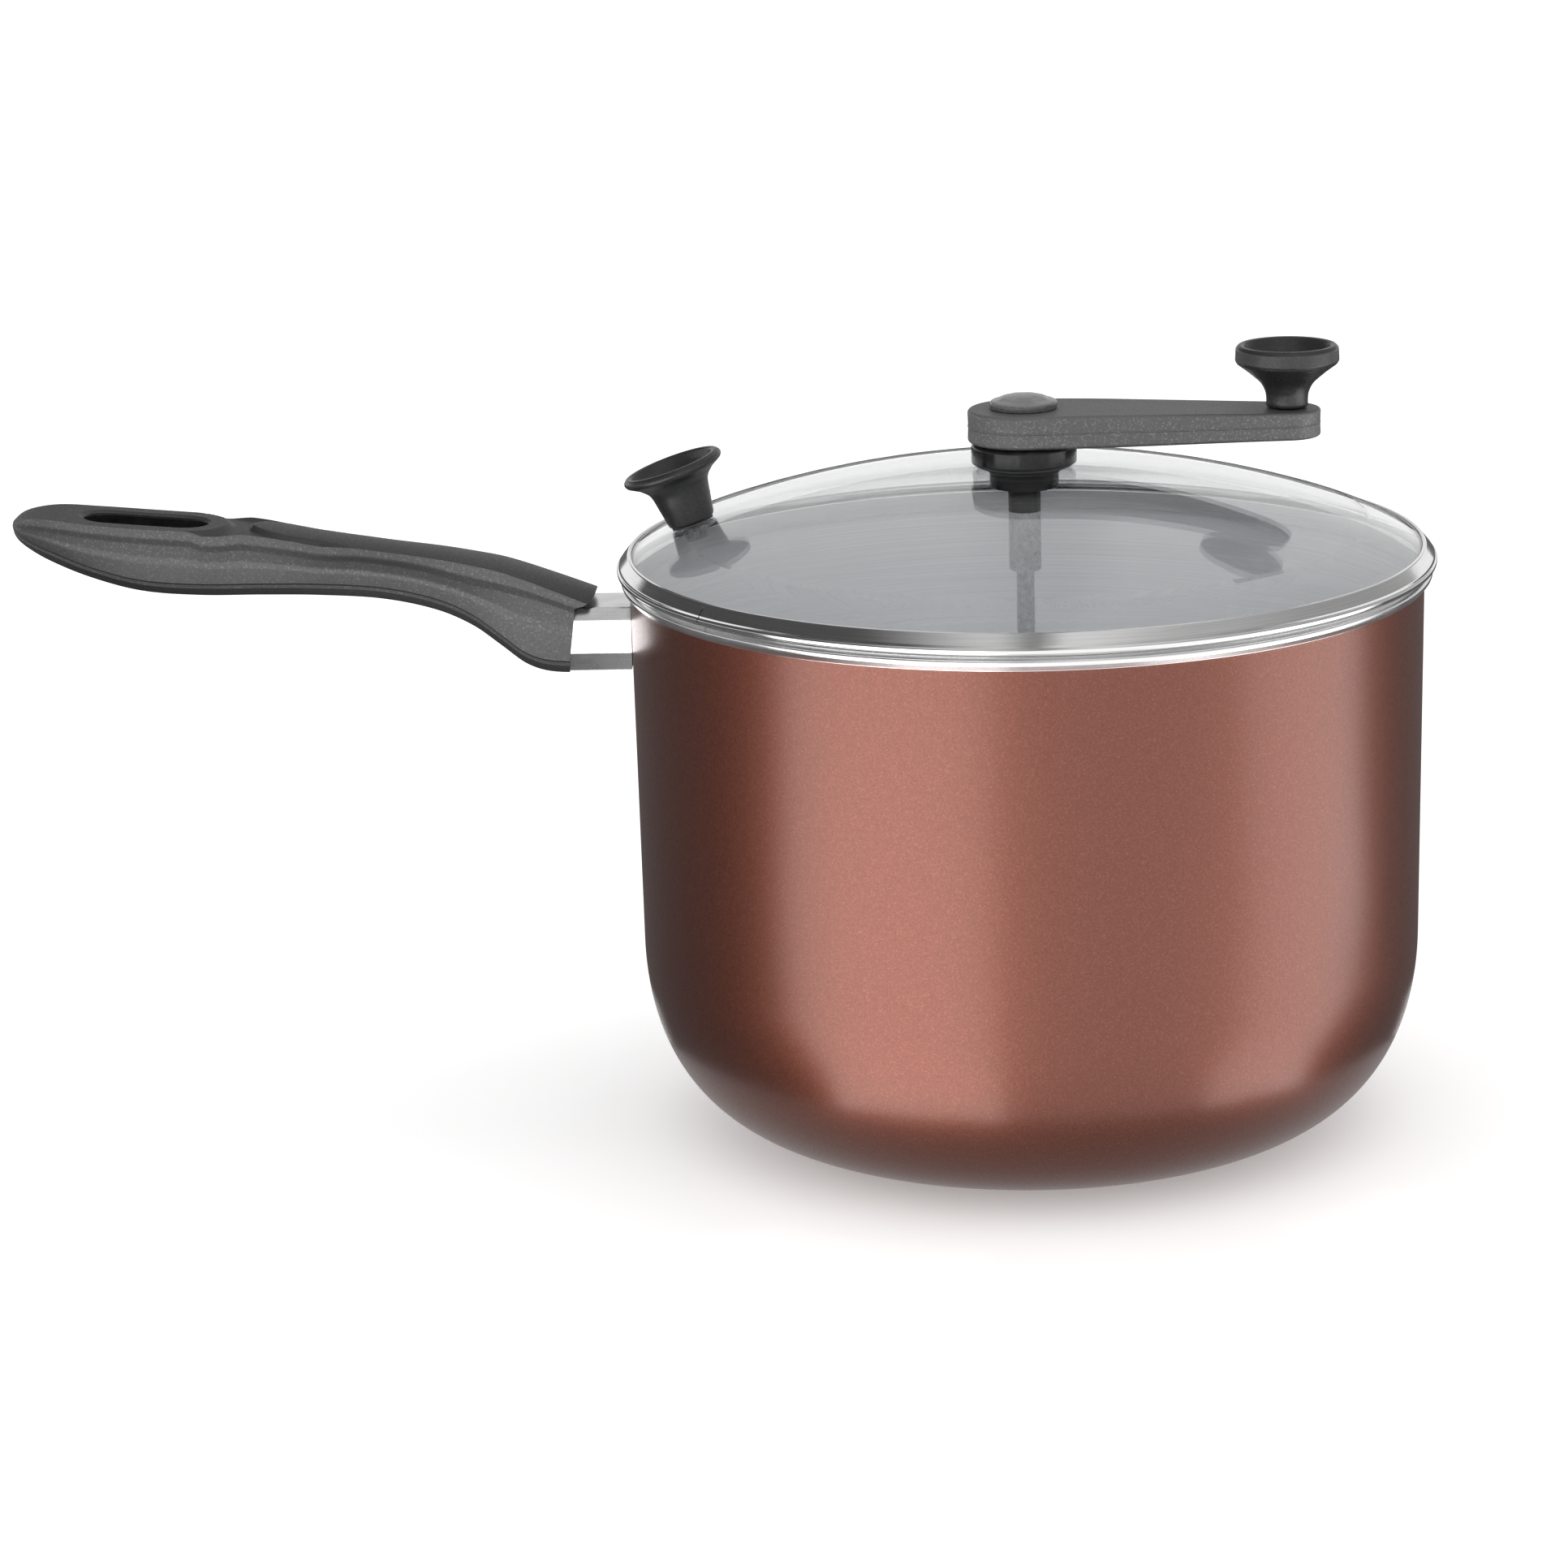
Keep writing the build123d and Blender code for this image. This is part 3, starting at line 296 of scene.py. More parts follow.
class Paint:
    """A Principled material with helpers that add procedural detail to it."""

    def __init__(self, name, colour, rough, metal, **sockets):
        self.material = bpy.data.materials.new(name)
        self.material.use_nodes = True
        self.tree = self.material.node_tree
        self.shader = self.tree.nodes["Principled BSDF"]
        self.set("Base Color", (*colour, 1))
        self.set("Roughness", rough)
        self.set("Metallic", metal)
        for socket, value in sockets.items():
            self.set(socket.replace("_", " ").title().replace("Ior", "IOR"), value)
        self.place = self.tree.nodes.new("ShaderNodeTexCoord")

    def set(self, socket, value):
        self.shader.inputs[socket].default_value = value

    def link(self, out, into):
        self.tree.links.new(out, into)

    def mapping(self, scale=(1, 1, 1), source="Object"):
        """Object or UV coordinates in metres, stretched."""
        node = self.tree.nodes.new("ShaderNodeMapping")
        node.inputs["Scale"].default_value = scale
        self.link(self.place.outputs[source], node.inputs["Vector"])
        return node.outputs["Vector"]

    def noise(self, size, detail=2.0, scale=(1, 1, 1), source="Object", blotch=0.5):
        """Noise whose features are about size millimetres across."""
        node = self.tree.nodes.new("ShaderNodeTexNoise")
        node.inputs["Scale"].default_value = 1 / (size * MM)
        node.inputs["Detail"].default_value = detail
        node.inputs["Roughness"].default_value = blotch
        self.link(self.mapping(scale, source), node.inputs["Vector"])
        return node.outputs["Fac"]

    def flakes(self, size):
        """A random value for each cell about size millimetres across."""
        node = self.tree.nodes.new("ShaderNodeTexVoronoi")
        node.inputs["Scale"].default_value = 1 / (size * MM)
        self.link(self.place.outputs["Object"], node.inputs["Vector"])
        split = self.tree.nodes.new("ShaderNodeSeparateColor")
        self.link(node.outputs["Color"], split.inputs["Color"])
        return split.outputs["Red"]

    def along(self, source, axis):
        """One component of the object coordinates or of the normal."""
        split = self.tree.nodes.new("ShaderNodeSeparateXYZ")
        self.link(self.place.outputs[source], split.inputs["Vector"])
        return split.outputs[axis]

    def painted_light_by_facing(self):
        """0 on upright faces, rising to 1 on level ones, whichever way they look; it masks the painted light
        and shade on the level faces of the mouldings.
        """
        tilt = self.tree.nodes.new("ShaderNodeMath")
        tilt.operation = "ABSOLUTE"
        self.link(self.along("Normal", "Z"), tilt.inputs[0])
        return self.spread(tilt.outputs["Value"], 0.0, 1.0, 0.05, 0.8)

    def ramp(self, value, stops, between_stops="LINEAR"):
        """Colours along a value; stops are (position, colour)."""
        node = self.tree.nodes.new("ShaderNodeValToRGB")
        node.color_ramp.interpolation = between_stops
        points = node.color_ramp.elements
        while len(points) < len(stops):
            points.new(0.5)
        for point, (position, colour) in zip(points, stops):
            point.position = position
            point.color = (*colour, 1)
        self.link(value, node.inputs["Fac"])
        return node.outputs["Color"]

    def spread(self, value, low, high, start=0.3, end=0.7):
        """The value's range from start to end, mapped on low to high."""
        node = self.tree.nodes.new("ShaderNodeMapRange")
        for socket, number in (("From Min", start), ("From Max", end), ("To Min", low), ("To Max", high)):
            node.inputs[socket].default_value = number
        self.link(value, node.inputs["Value"])
        return node.outputs["Result"]

    def blend(self, a, b, share):
        """Two colours mixed by a share, a number or a socket."""
        node = self.tree.nodes.new("ShaderNodeMix")
        node.data_type = "RGBA"
        if isinstance(share, float):
            node.inputs[0].default_value = share
        else:
            self.link(share, node.inputs[0])
        self.link(a, node.inputs[6])
        self.link(b, node.inputs[7])
        return node.outputs[2]

    def colour(self, out):
        self.link(out, self.shader.inputs["Base Color"])

    def two_tone(self, value, dark, light):
        """Base colour that runs from one tone to the other along a value."""
        self.colour(self.ramp(value, [(0.3, dark), (0.7, light)]))

    def rough(self, value, low, high):
        self.link(self.spread(value, low, high), self.shader.inputs["Roughness"])

    def bump(self, height, depth, strength=1.0, below=None):
        """Relief depth millimetres deep, on top of another bump."""
        node = self.tree.nodes.new("ShaderNodeBump")
        node.inputs["Strength"].default_value = strength
        node.inputs["Distance"].default_value = depth * MM
        self.link(height, node.inputs["Height"])
        if below:
            self.link(below, node.inputs["Normal"])
        self.link(node.outputs["Normal"], self.shader.inputs["Normal"])
        return node.outputs["Normal"]


def copper_paint():
    """Baked metallic enamel: copper red with fine flakes and a soft orange-peel surface."""
    base = (0.174, 0.043, 0.0215)
    paint = Paint("copper_paint", base, 0.45, 0.92, coat_weight=1.0, coat_roughness=0.27)
    grain = paint.ramp(
        paint.noise(0.55, 3.0, blotch=0.65),
        [(0.28, (0.137, 0.03, 0.014)), (0.5, base), (0.74, (0.232, 0.07, 0.039))],
    )
    flake = paint.ramp(
        paint.flakes(0.26),
        [(0.0, (0.137, 0.031, 0.014)), (0.8, base), (1.0, (0.3, 0.104, 0.066))],
    )
    paint.colour(paint.blend(grain, flake, 0.42))
    paint.rough(paint.noise(0.9, 2.0), 0.4, 0.5)
    peel = paint.bump(paint.noise(1.6, 1.0), 0.012, 0.5)
    paint.bump(paint.flakes(0.3), 0.006, 0.55, below=peel)
    return paint.material


def spun_aluminium(name, tint, metal, low_rough, high_rough):
    """Bare spun aluminium: fine rings left by the tool, with small changes of gloss."""
    paint = Paint(name, tint, low_rough, metal)
    rings = paint.noise(0.5, 3.0, scale=(0.004, 1, 1), source="UV", blotch=0.6)
    paint.two_tone(rings, times(tint, 0.9), times(tint, 1.06))
    paint.rough(paint.noise(14.0, 2.0), low_rough, high_rough)
    paint.bump(rings, 0.008, 0.3)
    return paint.material


def polished_steel():
    """Bright rolled stainless steel: faint lengthwise polishing marks and small cloudy patches."""
    paint = Paint("polished_steel", (0.77, 0.77, 0.765), 0.12, 1.0)
    marks = paint.noise(0.35, 3.0, scale=(0.01, 1, 1), source="UV", blotch=0.6)
    paint.two_tone(marks, (0.7, 0.7, 0.695), (0.83, 0.83, 0.825))
    paint.rough(paint.noise(6.0, 4.0), 0.08, 0.17)
    paint.bump(marks, 0.004, 0.3)
    return paint.material


def guard_steel():
    """Satin-polished flame guard, with fine marks along its length."""
    paint = Paint("guard_steel", (0.8, 0.8, 0.8), 0.28, 1.0)
    marks = paint.noise(0.3, 3.0, scale=(0.03, 1, 1), blotch=0.6)
    paint.two_tone(marks, (0.74, 0.74, 0.74), (0.85, 0.85, 0.85))
    paint.rough(paint.noise(5.0, 3.0), 0.24, 0.32)
    paint.bump(marks, 0.004, 0.3)
    return paint.material


def plain_steel():
    """Zinc-plated or drawn steel of the hidden fittings and the stirrer."""
    paint = Paint("plain_steel", (0.56, 0.56, 0.57), 0.3, 1.0)
    cloud = paint.noise(2.2, 4.0)
    paint.two_tone(cloud, (0.47, 0.47, 0.49), (0.64, 0.64, 0.64))
    paint.rough(paint.noise(0.8, 3.0), 0.22, 0.4)
    paint.bump(paint.noise(0.25, 2.0), 0.006, 0.35)
    return paint.material


def moulded_black(name, base, smooth, rough, grain_mm, depth, fleck):
    """Matt phenolic moulding. Upright faces carry a spark-eroded grain with flecks of a pale grey; level
    faces have no flecks and are painted smooth times the colour, as painted shade where smooth is under 1 and
    painted light where it is over 1, for how light falls on tops and undersides. rough is (low, high)."""
    paint = Paint(name, base, sum(rough) / 2, 0.0, specular_ior_level=0.5)
    grain = paint.noise(grain_mm, 3.0, blotch=0.7)
    dark = times(base, 0.72)
    bed = paint.ramp(grain, [(0.32, dark), (0.55, base), (0.75, times(base, 1.5))])
    flecks = paint.ramp(paint.flakes(grain_mm * 0.9), [(0.0, dark), (0.82, base), (1.0, (fleck,) * 3)])
    grained = paint.blend(bed, flecks, 0.5)
    # Painted light and shade: level faces take the darker or lighter tone that smooth gives, in place of the
    # grain.
    level = paint.ramp(grain, [(0.32, times(dark, smooth)), (0.75, times(base, smooth))])
    paint.colour(paint.blend(grained, level, paint.painted_light_by_facing()))
    paint.rough(paint.noise(grain_mm * 1.3, 2.0), *rough)
    paint.bump(grain, depth, 0.7)
    return paint.material


def gloss_black():
    """Glossy nylon of the bearing parts, with faint sink and flow marks."""
    paint = Paint("gloss_black", (0.012, 0.012, 0.013), 0.16, 0.0, specular_ior_level=0.3)
    flow = paint.noise(3.0, 3.0)
    paint.two_tone(flow, (0.009, 0.009, 0.01), (0.018, 0.018, 0.019))
    paint.rough(paint.noise(1.2, 3.0), 0.1, 0.22)
    paint.bump(flow, 0.01, 0.25)
    return paint.material


def clear_glass():
    """Toughened glass: clear, faintly grey, with a trace of unevenness. Lamps shine through it."""
    paint = Paint("clear_glass", (0.955, 0.965, 0.97), 0.0, 0.0, transmission_weight=1.0, ior=1.47)
    paint.two_tone(paint.noise(30.0), (0.95, 0.96, 0.965), (0.965, 0.972, 0.976))
    tree = paint.tree
    passing = tree.nodes.new("ShaderNodeBsdfTransparent")
    passing.inputs["Color"].default_value = (0.93, 0.94, 0.945, 1)
    path = tree.nodes.new("ShaderNodeLightPath")
    either = tree.nodes.new("ShaderNodeMixShader")
    paint.link(path.outputs["Is Shadow Ray"], either.inputs["Fac"])
    paint.link(paint.shader.outputs["BSDF"], either.inputs[1])
    paint.link(passing.outputs["BSDF"], either.inputs[2])
    paint.link(either.outputs["Shader"], tree.nodes["Material Output"].inputs["Surface"])
    return paint.material


def silicone():
    """Matt dark grey rubber of the sealing rings."""
    paint = Paint("silicone", (0.05, 0.05, 0.052), 0.6, 0.0)
    dust = paint.noise(0.5, 4.0)
    paint.two_tone(dust, (0.04, 0.04, 0.042), (0.07, 0.07, 0.072))
    paint.rough(dust, 0.5, 0.7)
    paint.bump(dust, 0.01, 0.3)
    return paint.material


def machined_brass():
    """Turned brass of the threaded insert."""
    paint = Paint("machined_brass", (0.75, 0.55, 0.25), 0.28, 1.0)
    rings = paint.noise(0.3, 3.0, scale=(0.3, 0.3, 1))
    paint.two_tone(rings, (0.62, 0.43, 0.18), (0.82, 0.62, 0.32))
    paint.rough(paint.noise(0.8, 2.0), 0.2, 0.36)
    paint.bump(rings, 0.006, 0.4)
    return paint.material


def pale_floor():
    """Plain pale studio floor, barely uneven, with a glow that keeps its shadows soft."""
    paint = Paint("pale_floor", (0.9, 0.9, 0.9), 0.85, 0.0, specular_ior_level=0.1, emission_strength=0.3)
    paint.set("Emission Color", WHITE)
    paint.two_tone(paint.noise(60.0), (0.895, 0.895, 0.895), (0.91, 0.91, 0.91))
    return paint.material


def card_face(name, glow, fade):
    """Face of a studio card: black felt, or white with a glow. fade, if any, shades the glow from left to
    right: (x in metres, share of the glow) in rising x."""
    paint = Paint(name, (0.02, 0.02, 0.02), 0.95, 0.0, specular_ior_level=0.0, emission_strength=glow)
    paint.set("Emission Color", WHITE)
    paint.two_tone(paint.noise(2.0), (0.015, 0.015, 0.015), (0.03, 0.03, 0.03))
    if fade:
        across = paint.spread(paint.along("Object", "X"), 0.0, 1.0, -SKY_R, SKY_R)
        stops = [((x + SKY_R) / (2 * SKY_R), (share, share, share)) for x, share in fade]
        paint.link(paint.ramp(across, stops, "EASE"), paint.shader.inputs["Emission Color"])
    return paint.material


COPPER = copper_paint()
INSIDE = spun_aluminium("inside_aluminium", (0.9, 0.9, 0.915), 0.25, 0.36, 0.44)
ALUMINIUM = spun_aluminium("bright_aluminium", (0.84, 0.84, 0.845), 1.0, 0.16, 0.26)
STEEL = polished_steel()
GUARD_STEEL = guard_steel()
PLAIN_STEEL = plain_steel()
# One black phenolic for grip, arm, knobs and cap. The base tones differ from part to part as painted light
# and shade, each part lighter or darker for how light falls on it, the arm lighter for the sheen on its
# sides; smooth sets each part's painted light or shade on its level faces.
GRIP_BLACK = moulded_black(
    "grip_black", (0.092, 0.0915, 0.092), smooth=0.36, rough=(0.4, 0.6), grain_mm=0.42, depth=0.03, fleck=0.25
)
LIT_ARM_BLACK = moulded_black(
    "lit_arm_black", (0.135, 0.1345, 0.135), smooth=0.75, rough=(0.4, 0.58), grain_mm=0.42, depth=0.03, fleck=0.34
)
KNOB_BLACK = moulded_black(
    "knob_black", (0.04, 0.0395, 0.04), smooth=0.5, rough=(0.26, 0.42), grain_mm=0.35, depth=0.016, fleck=0.1
)
CAP_BLACK = moulded_black(
    "cap_black", (0.1, 0.1, 0.101), smooth=1.9, rough=(0.22, 0.34), grain_mm=0.5, depth=0.012, fleck=0.14
)
GLOSS_BLACK = gloss_black()
GLASS = clear_glass()
SILICONE = silicone()
BRASS = machined_brass()

FINISHES = {
    "copper_paint": COPPER,
    "polished_steel": GUARD_STEEL,
    "plain_steel": PLAIN_STEEL,
    "bright_metal": ALUMINIUM,
    "bakelite": KNOB_BLACK,
    "black_nylon": GLOSS_BLACK,
    "clear_glass": GLASS,
    "seal_rubber": SILICONE,
    "brass": BRASS,
}
for node in NODES.values():
    for place in node.material_slots:
        place.material = FINISHES[place.material.name.split(".")[0]]


# ---------------------------------------------------------------- pieces that replace plain CAD solids
POT_R = 111.0
POT_DRAFT = 1.0
WALL = 2.0
FLOOR = 3.0
BASE_FLAT_R = 61.5
CORNER_H = 56.0
CORNER_FULLNESS = 0.62
LIP_Z = 156.5
LIP_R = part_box("pot_body")[1].x / MM
POT_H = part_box("pot_body")[1].z / MM
RING_RADII = (24.0, 36.0, 48.0)
RING_W = 1.2
RING_DEPTH = 0.4
RING_EDGE_R = 0.12
RIVET_R = 2.0
RIVET_HEIGHTS = (137.7, 147.3)
PAINTED, BARE, INNER = 0, 1, 2


def corner(inset, floor):
    """The curve that rounds the pot's bottom corner, from the flat out to the wall."""
    run = POT_R - POT_DRAFT - BASE_FLAT_R - inset
    rise = CORNER_H - floor
    return bezier(
        (BASE_FLAT_R, floor),
        (BASE_FLAT_R + CORNER_FULLNESS * run, floor),
        (BASE_FLAT_R + run, CORNER_H - CORNER_FULLNESS * rise),
        (BASE_FLAT_R + run, CORNER_H),
        steps=40,
    )


def build_pot():
    """Spun shell: painted outside, bare inside, on the lip and on the turned underside."""
    mouth = POT_R - WALL
    underside = [(0, 0)]
    for ring in RING_RADII:
        inner, outer = ring - RING_W / 2, ring + RING_W / 2
        underside += soften(
            [
                (inner - 0.6, 0),
                (inner, 0),
                (inner, RING_DEPTH),
                (outer, RING_DEPTH),
                (outer, 0),
                (outer + 0.6, 0),
            ],
            [RING_EDGE_R] * 4,
            steps=3,
        )
    underside.append((BASE_FLAT_R, 0))
    wall = corner(0, 0) + [(POT_R - 0.02, LIP_Z - 1.0), (POT_R, LIP_Z - 0.25)]
    lip = soften(
        [
            (POT_R, LIP_Z - 0.25),
            (POT_R + 0.2, LIP_Z),
            (POT_R + 0.8, LIP_Z + 0.1),
            (LIP_R - 0.25, LIP_Z + 1.5),
            (LIP_R, LIP_Z + 2.2),
            (LIP_R - 0.1, POT_H - 1.1),
            (LIP_R - 1.7, POT_H),
            (mouth + 0.9, POT_H),
            (mouth, POT_H - 0.9),
            (mouth - 0.01, POT_H - 3),
        ],
        [0.15, 0.4, 1.0, 0.8, 0.9, 0.9, 0.6, 0.6],
        steps=4,
    )
    inside = [(mouth - 0.01, POT_H - 3)] + list(reversed(corner(WALL, FLOOR))) + [(0, FLOOR), (0, 0)]
    bm = lathe([(BARE, underside), (PAINTED, wall), (BARE, lip), (INNER, inside)], steps=288)
    bores = []
    for height in RIVET_HEIGHTS:
        turns = [2 * math.pi * k / 32 for k in range(32)]
        ends = [
            [(x, RIVET_R * math.cos(a), height + RIVET_R * math.sin(a)) for a in turns]
            for x in (-POT_R - 4, -POT_R + 6)
        ]
        bores.append(loft(ends))
    pot = finish_mesh("pot_shell", cut(bm, bores), "pot", [COPPER, ALUMINIUM, INSIDE], sharp=50)
    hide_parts("pot_body")


DOME_APEX_Z = 188.8
DOME_R = 292.0
LID_KNOB_AT = 93.0
BAND_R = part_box("lid_band")[1].x / MM
BAND_LIP_R = 110.4
BAND_LOW_Z = 160.7
BAND_TOP_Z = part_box("lid_band")[1].z / MM
SKIRT_R = 108.4
SKIRT_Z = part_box("lid_band")[0].z / MM
BAND_T = 0.5
SEAM_ANGLE = 220.0
SEAM_W = 0.35


def build_band():
    """Rolled steel band with a broad sloping face, a narrow upright one and an open seam."""
    outside = soften(
        [
            (SKIRT_R, SKIRT_Z + 0.1),
            (SKIRT_R, BAND_LOW_Z),
            (BAND_R - 1.1, BAND_LOW_Z),
            (BAND_R, BAND_LOW_Z + 0.9),
            (BAND_R, BAND_LOW_Z + 1.9),
            (BAND_R - 0.55, BAND_LOW_Z + 2.25),
            (BAND_R - 0.75, BAND_LOW_Z + 2.9),
            (BAND_LIP_R + 0.9, BAND_TOP_Z - 0.1),
            (BAND_LIP_R, BAND_TOP_Z - 0.2),
            (BAND_LIP_R, BAND_TOP_Z - BAND_T - 0.1),
        ],
        [0.4, 0.5, 0.8, 0.5, 0.3, 0.8, 0.6, 0.15],
        steps=4,
    )
    inside = soften(
        [
            outside[-1],
            (BAND_R - 2.0, BAND_LOW_Z + 3.2),
            (BAND_R - BAND_T - 0.2, BAND_LOW_Z + 1.7),
            (BAND_R - BAND_T - 0.2, BAND_LOW_Z + BAND_T),
            (SKIRT_R - BAND_T, BAND_LOW_Z + BAND_T),
            (SKIRT_R - BAND_T, SKIRT_Z + 0.1),
            (SKIRT_R - BAND_T / 2, SKIRT_Z),
            outside[0],
        ],
        [0.8, 0.5, 0.3, 0.3, 0.15, 0.15],
        steps=3,
    )
    half_seam = math.degrees(SEAM_W / 2 / BAND_R)
    bm = lathe(
        [(0, outside), (0, inside)],
        steps=320,
        sweep=(SEAM_ANGLE + half_seam, SEAM_ANGLE + 360 - half_seam),
    )
    band = finish_mesh("lid_rim_band", bm, "lid", [STEEL], sharp=50)
    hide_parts("lid_band")


KNOB_STEM = ((5.8, 0.0), (5.8, 2.6), (6.2, 4.6), (7.6, 7.0), (11.0, 10.0))
KNOB_RIM_R = 14.4
KNOB_RIM_Z = 12.6
KNOB_H = 17.4
KNOB_CUP_R = 11.8
KNOB_CUP_Z = 9.4
KNOB_BORE_R = 3.06
KNOB_FOOT_SKIP = 4  # points of the waist's curve that give way to the rounded foot
LID_KNOB_STEM = ((6.5, 0.0), (6.9, 2.0), (7.6, 6.0), (8.6, 10.6), (10.9, 13.2))
LID_KNOB_RIM_Z = 15.4
INSERT_R = 3.4
INSERT_H = 7.0


def knob_outline(stem, rim_z, foot_bore, foot_depth, top_bore):
    """Half section of a waisted knob, with a thin rounded rim and a dished top, from its foot to its bore."""
    foot = [(foot_bore, 0.0), (stem[0][0] - 0.5, 0.0), (stem[0][0], 0.45)]
    waist = curve_through(stem)[KNOB_FOOT_SKIP:]
    rim = soften(
        [
            waist[-1],
            (KNOB_RIM_R - 0.5, rim_z - 0.45),
            (KNOB_RIM_R, rim_z + 0.4),
            (KNOB_RIM_R - 0.15, KNOB_H - 0.9),
            (KNOB_RIM_R - 1.0, KNOB_H),
            (KNOB_CUP_R + 0.2, KNOB_H - 0.1),
            (KNOB_CUP_R - 0.7, KNOB_H - 2.2),
        ],
        [0.9, 0.8, 0.9, 0.9, 0.9],
        steps=6,
    )
    dish = curve_through(
        [
            (KNOB_CUP_R - 0.7, KNOB_H - 2.2),
            (KNOB_CUP_R - 2.4, KNOB_CUP_Z + 3.6),
            (KNOB_CUP_R - 5.4, KNOB_CUP_Z + 1.0),
            (max(top_bore, 2.0), KNOB_CUP_Z + 0.05),
            (top_bore, KNOB_CUP_Z),
        ]
    )
    bore = [(top_bore, foot_depth), (foot_bore, foot_depth), (foot_bore, 0.0)]
    return [(0, foot + waist), (0, rim), (0, dish), (0, bore)]


def build_knobs():
    """The free-spinning knob on the crank and the fixed one on the lid, which stands square to the dome."""
    spin = Vector(JOINTS["crank_knob_spin"]["pos_m"]) / MM
    spin.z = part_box("crank_knob")[0].z / MM
    bm = lathe(
        knob_outline(KNOB_STEM, KNOB_RIM_Z, KNOB_BORE_R, KNOB_CUP_Z / 2, KNOB_BORE_R),
        steps=128,
        place=Matrix.Translation(spin),
    )
    crank_knob = finish_mesh("crank_grip_knob", bm, "crank_knob", [KNOB_BLACK], sharp=55)
    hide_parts("crank_knob")

    lean = math.asin(LID_KNOB_AT / DOME_R)
    outward = Vector((-math.sin(lean), 0, math.cos(lean)))
    foot_z = DOME_APEX_Z - DOME_R + math.sqrt(DOME_R**2 - LID_KNOB_AT**2)
    foot = Vector((-LID_KNOB_AT, 0, foot_z)) + outward * 0.5
    bm = lathe(
        knob_outline(LID_KNOB_STEM, LID_KNOB_RIM_Z, INSERT_R, INSERT_H, 0.0),
        steps=128,
        place=Matrix.Translation(foot) @ outward.to_track_quat("Z", "Y").to_matrix().to_4x4(),
    )
    lid_knob = finish_mesh("lid_grip_knob", bm, "lid", [KNOB_BLACK], sharp=55)
    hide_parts("lid_knob")


CRANK_REACH = 73.0
ARM_LOW_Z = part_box("crank_arm")[0].z / MM
ARM_TOP_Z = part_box("crank_arm")[1].z / MM
ARM_BOSS_R = 15.6
ARM_TIP_R = 9.3
ARM_TIP_FALL = 1.0
ARM_TIP_RISE = 0.35
ARM_EDGE = 1.0
ARM_POCKET_R = 6.2
ARM_POCKET_H = 4.4
ARM_PIN_R = 2.52
SQUARE_HALF = 3.22
PARTING_RISE = 0.12
PARTING_SHARE = 0.49  # of the arm's thickness, from below
PARTING_LEVELS = ((-0.03, 0), (-0.012, PARTING_RISE), (0.012, PARTING_RISE), (0.03, 0))
ARM_SIDE_PARTS = 24
ARM_EDGE_STEPS = 5


def arm_ring(inset, share):
    """Outline of the crank arm pulled in by inset, at a share of its thickness from below."""
    boss, tip = ARM_BOSS_R - inset, ARM_TIP_R - inset
    slope = math.acos((ARM_BOSS_R - ARM_TIP_R) / CRANK_REACH)
    ring = []
    for k in range(41):
        angle = -slope + 2 * slope * k / 40
        ring.append((CRANK_REACH + tip * math.cos(angle), tip * math.sin(angle)))
    tip_x, tip_y = CRANK_REACH + tip * math.cos(slope), tip * math.sin(slope)
    boss_x, boss_y = boss * math.cos(slope), boss * math.sin(slope)
    ring += straight_run((tip_x, tip_y), (boss_x, boss_y), ARM_SIDE_PARTS)
    for k in range(61):
        angle = slope + (2 * math.pi - 2 * slope) * k / 60
        ring.append((boss * math.cos(angle), boss * math.sin(angle)))
    ring += straight_run((boss_x, -boss_y), (tip_x, -tip_y), ARM_SIDE_PARTS)
    placed = []
    for x, y in ring:
        fall = ARM_TIP_FALL * ease(x, ARM_BOSS_R, CRANK_REACH - ARM_TIP_R)
        rise = ARM_TIP_RISE * ease(x, ARM_BOSS_R, CRANK_REACH)
        low = ARM_LOW_Z + rise
        high = ARM_TOP_Z - fall
        placed.append((x, y, low + (high - low) * share))
    return placed


def build_arm():
    """Moulded crank arm with rounded edges and a parting line round its middle."""
    thick = ARM_TOP_Z - ARM_LOW_Z
    quarter = [math.pi / 2 * k / ARM_EDGE_STEPS for k in range(ARM_EDGE_STEPS + 1)]
    edge = [(ARM_EDGE * (1 - math.sin(a)), ARM_EDGE * (1 - math.cos(a)) / thick) for a in quarter]
    parting = [(PARTING_RISE - rise, PARTING_SHARE + offset) for offset, rise in PARTING_LEVELS]
    levels = edge + parting + [(inset, 1 - share) for inset, share in reversed(edge)]
    bm = loft([arm_ring(inset, share) for inset, share in levels])
    square = [
        [(x * SQUARE_HALF, y * SQUARE_HALF, z) for x, y in ((1, 1), (-1, 1), (-1, -1), (1, -1))]
        for z in (ARM_LOW_Z - 2, ARM_TOP_Z - ARM_POCKET_H + 1)
    ]
    pocket = [disc_ring((0, 0), ARM_POCKET_R, z) for z in (ARM_TOP_Z - ARM_POCKET_H, ARM_TOP_Z + 3)]
    pin = [disc_ring((CRANK_REACH, 0), ARM_PIN_R, z, 32) for z in (ARM_LOW_Z - 2, ARM_TOP_Z + 3)]
    bm = cut(bm, [loft(square), loft(pocket), loft(pin)])
    arm = finish_mesh("crank_blade", bm, "crank", [LIT_ARM_BLACK], sharp=35)
    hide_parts("crank_arm")


CAP_R = 9.4
CAP_FACETS = 8
CAP_PLATEAU_R = 6.6
CAP_SKIRT_T = 1.4
CAP_SKIRT_DROP = 2.8
CAP_FACETING = 0.8  # 1 is fully faceted, 0 is round


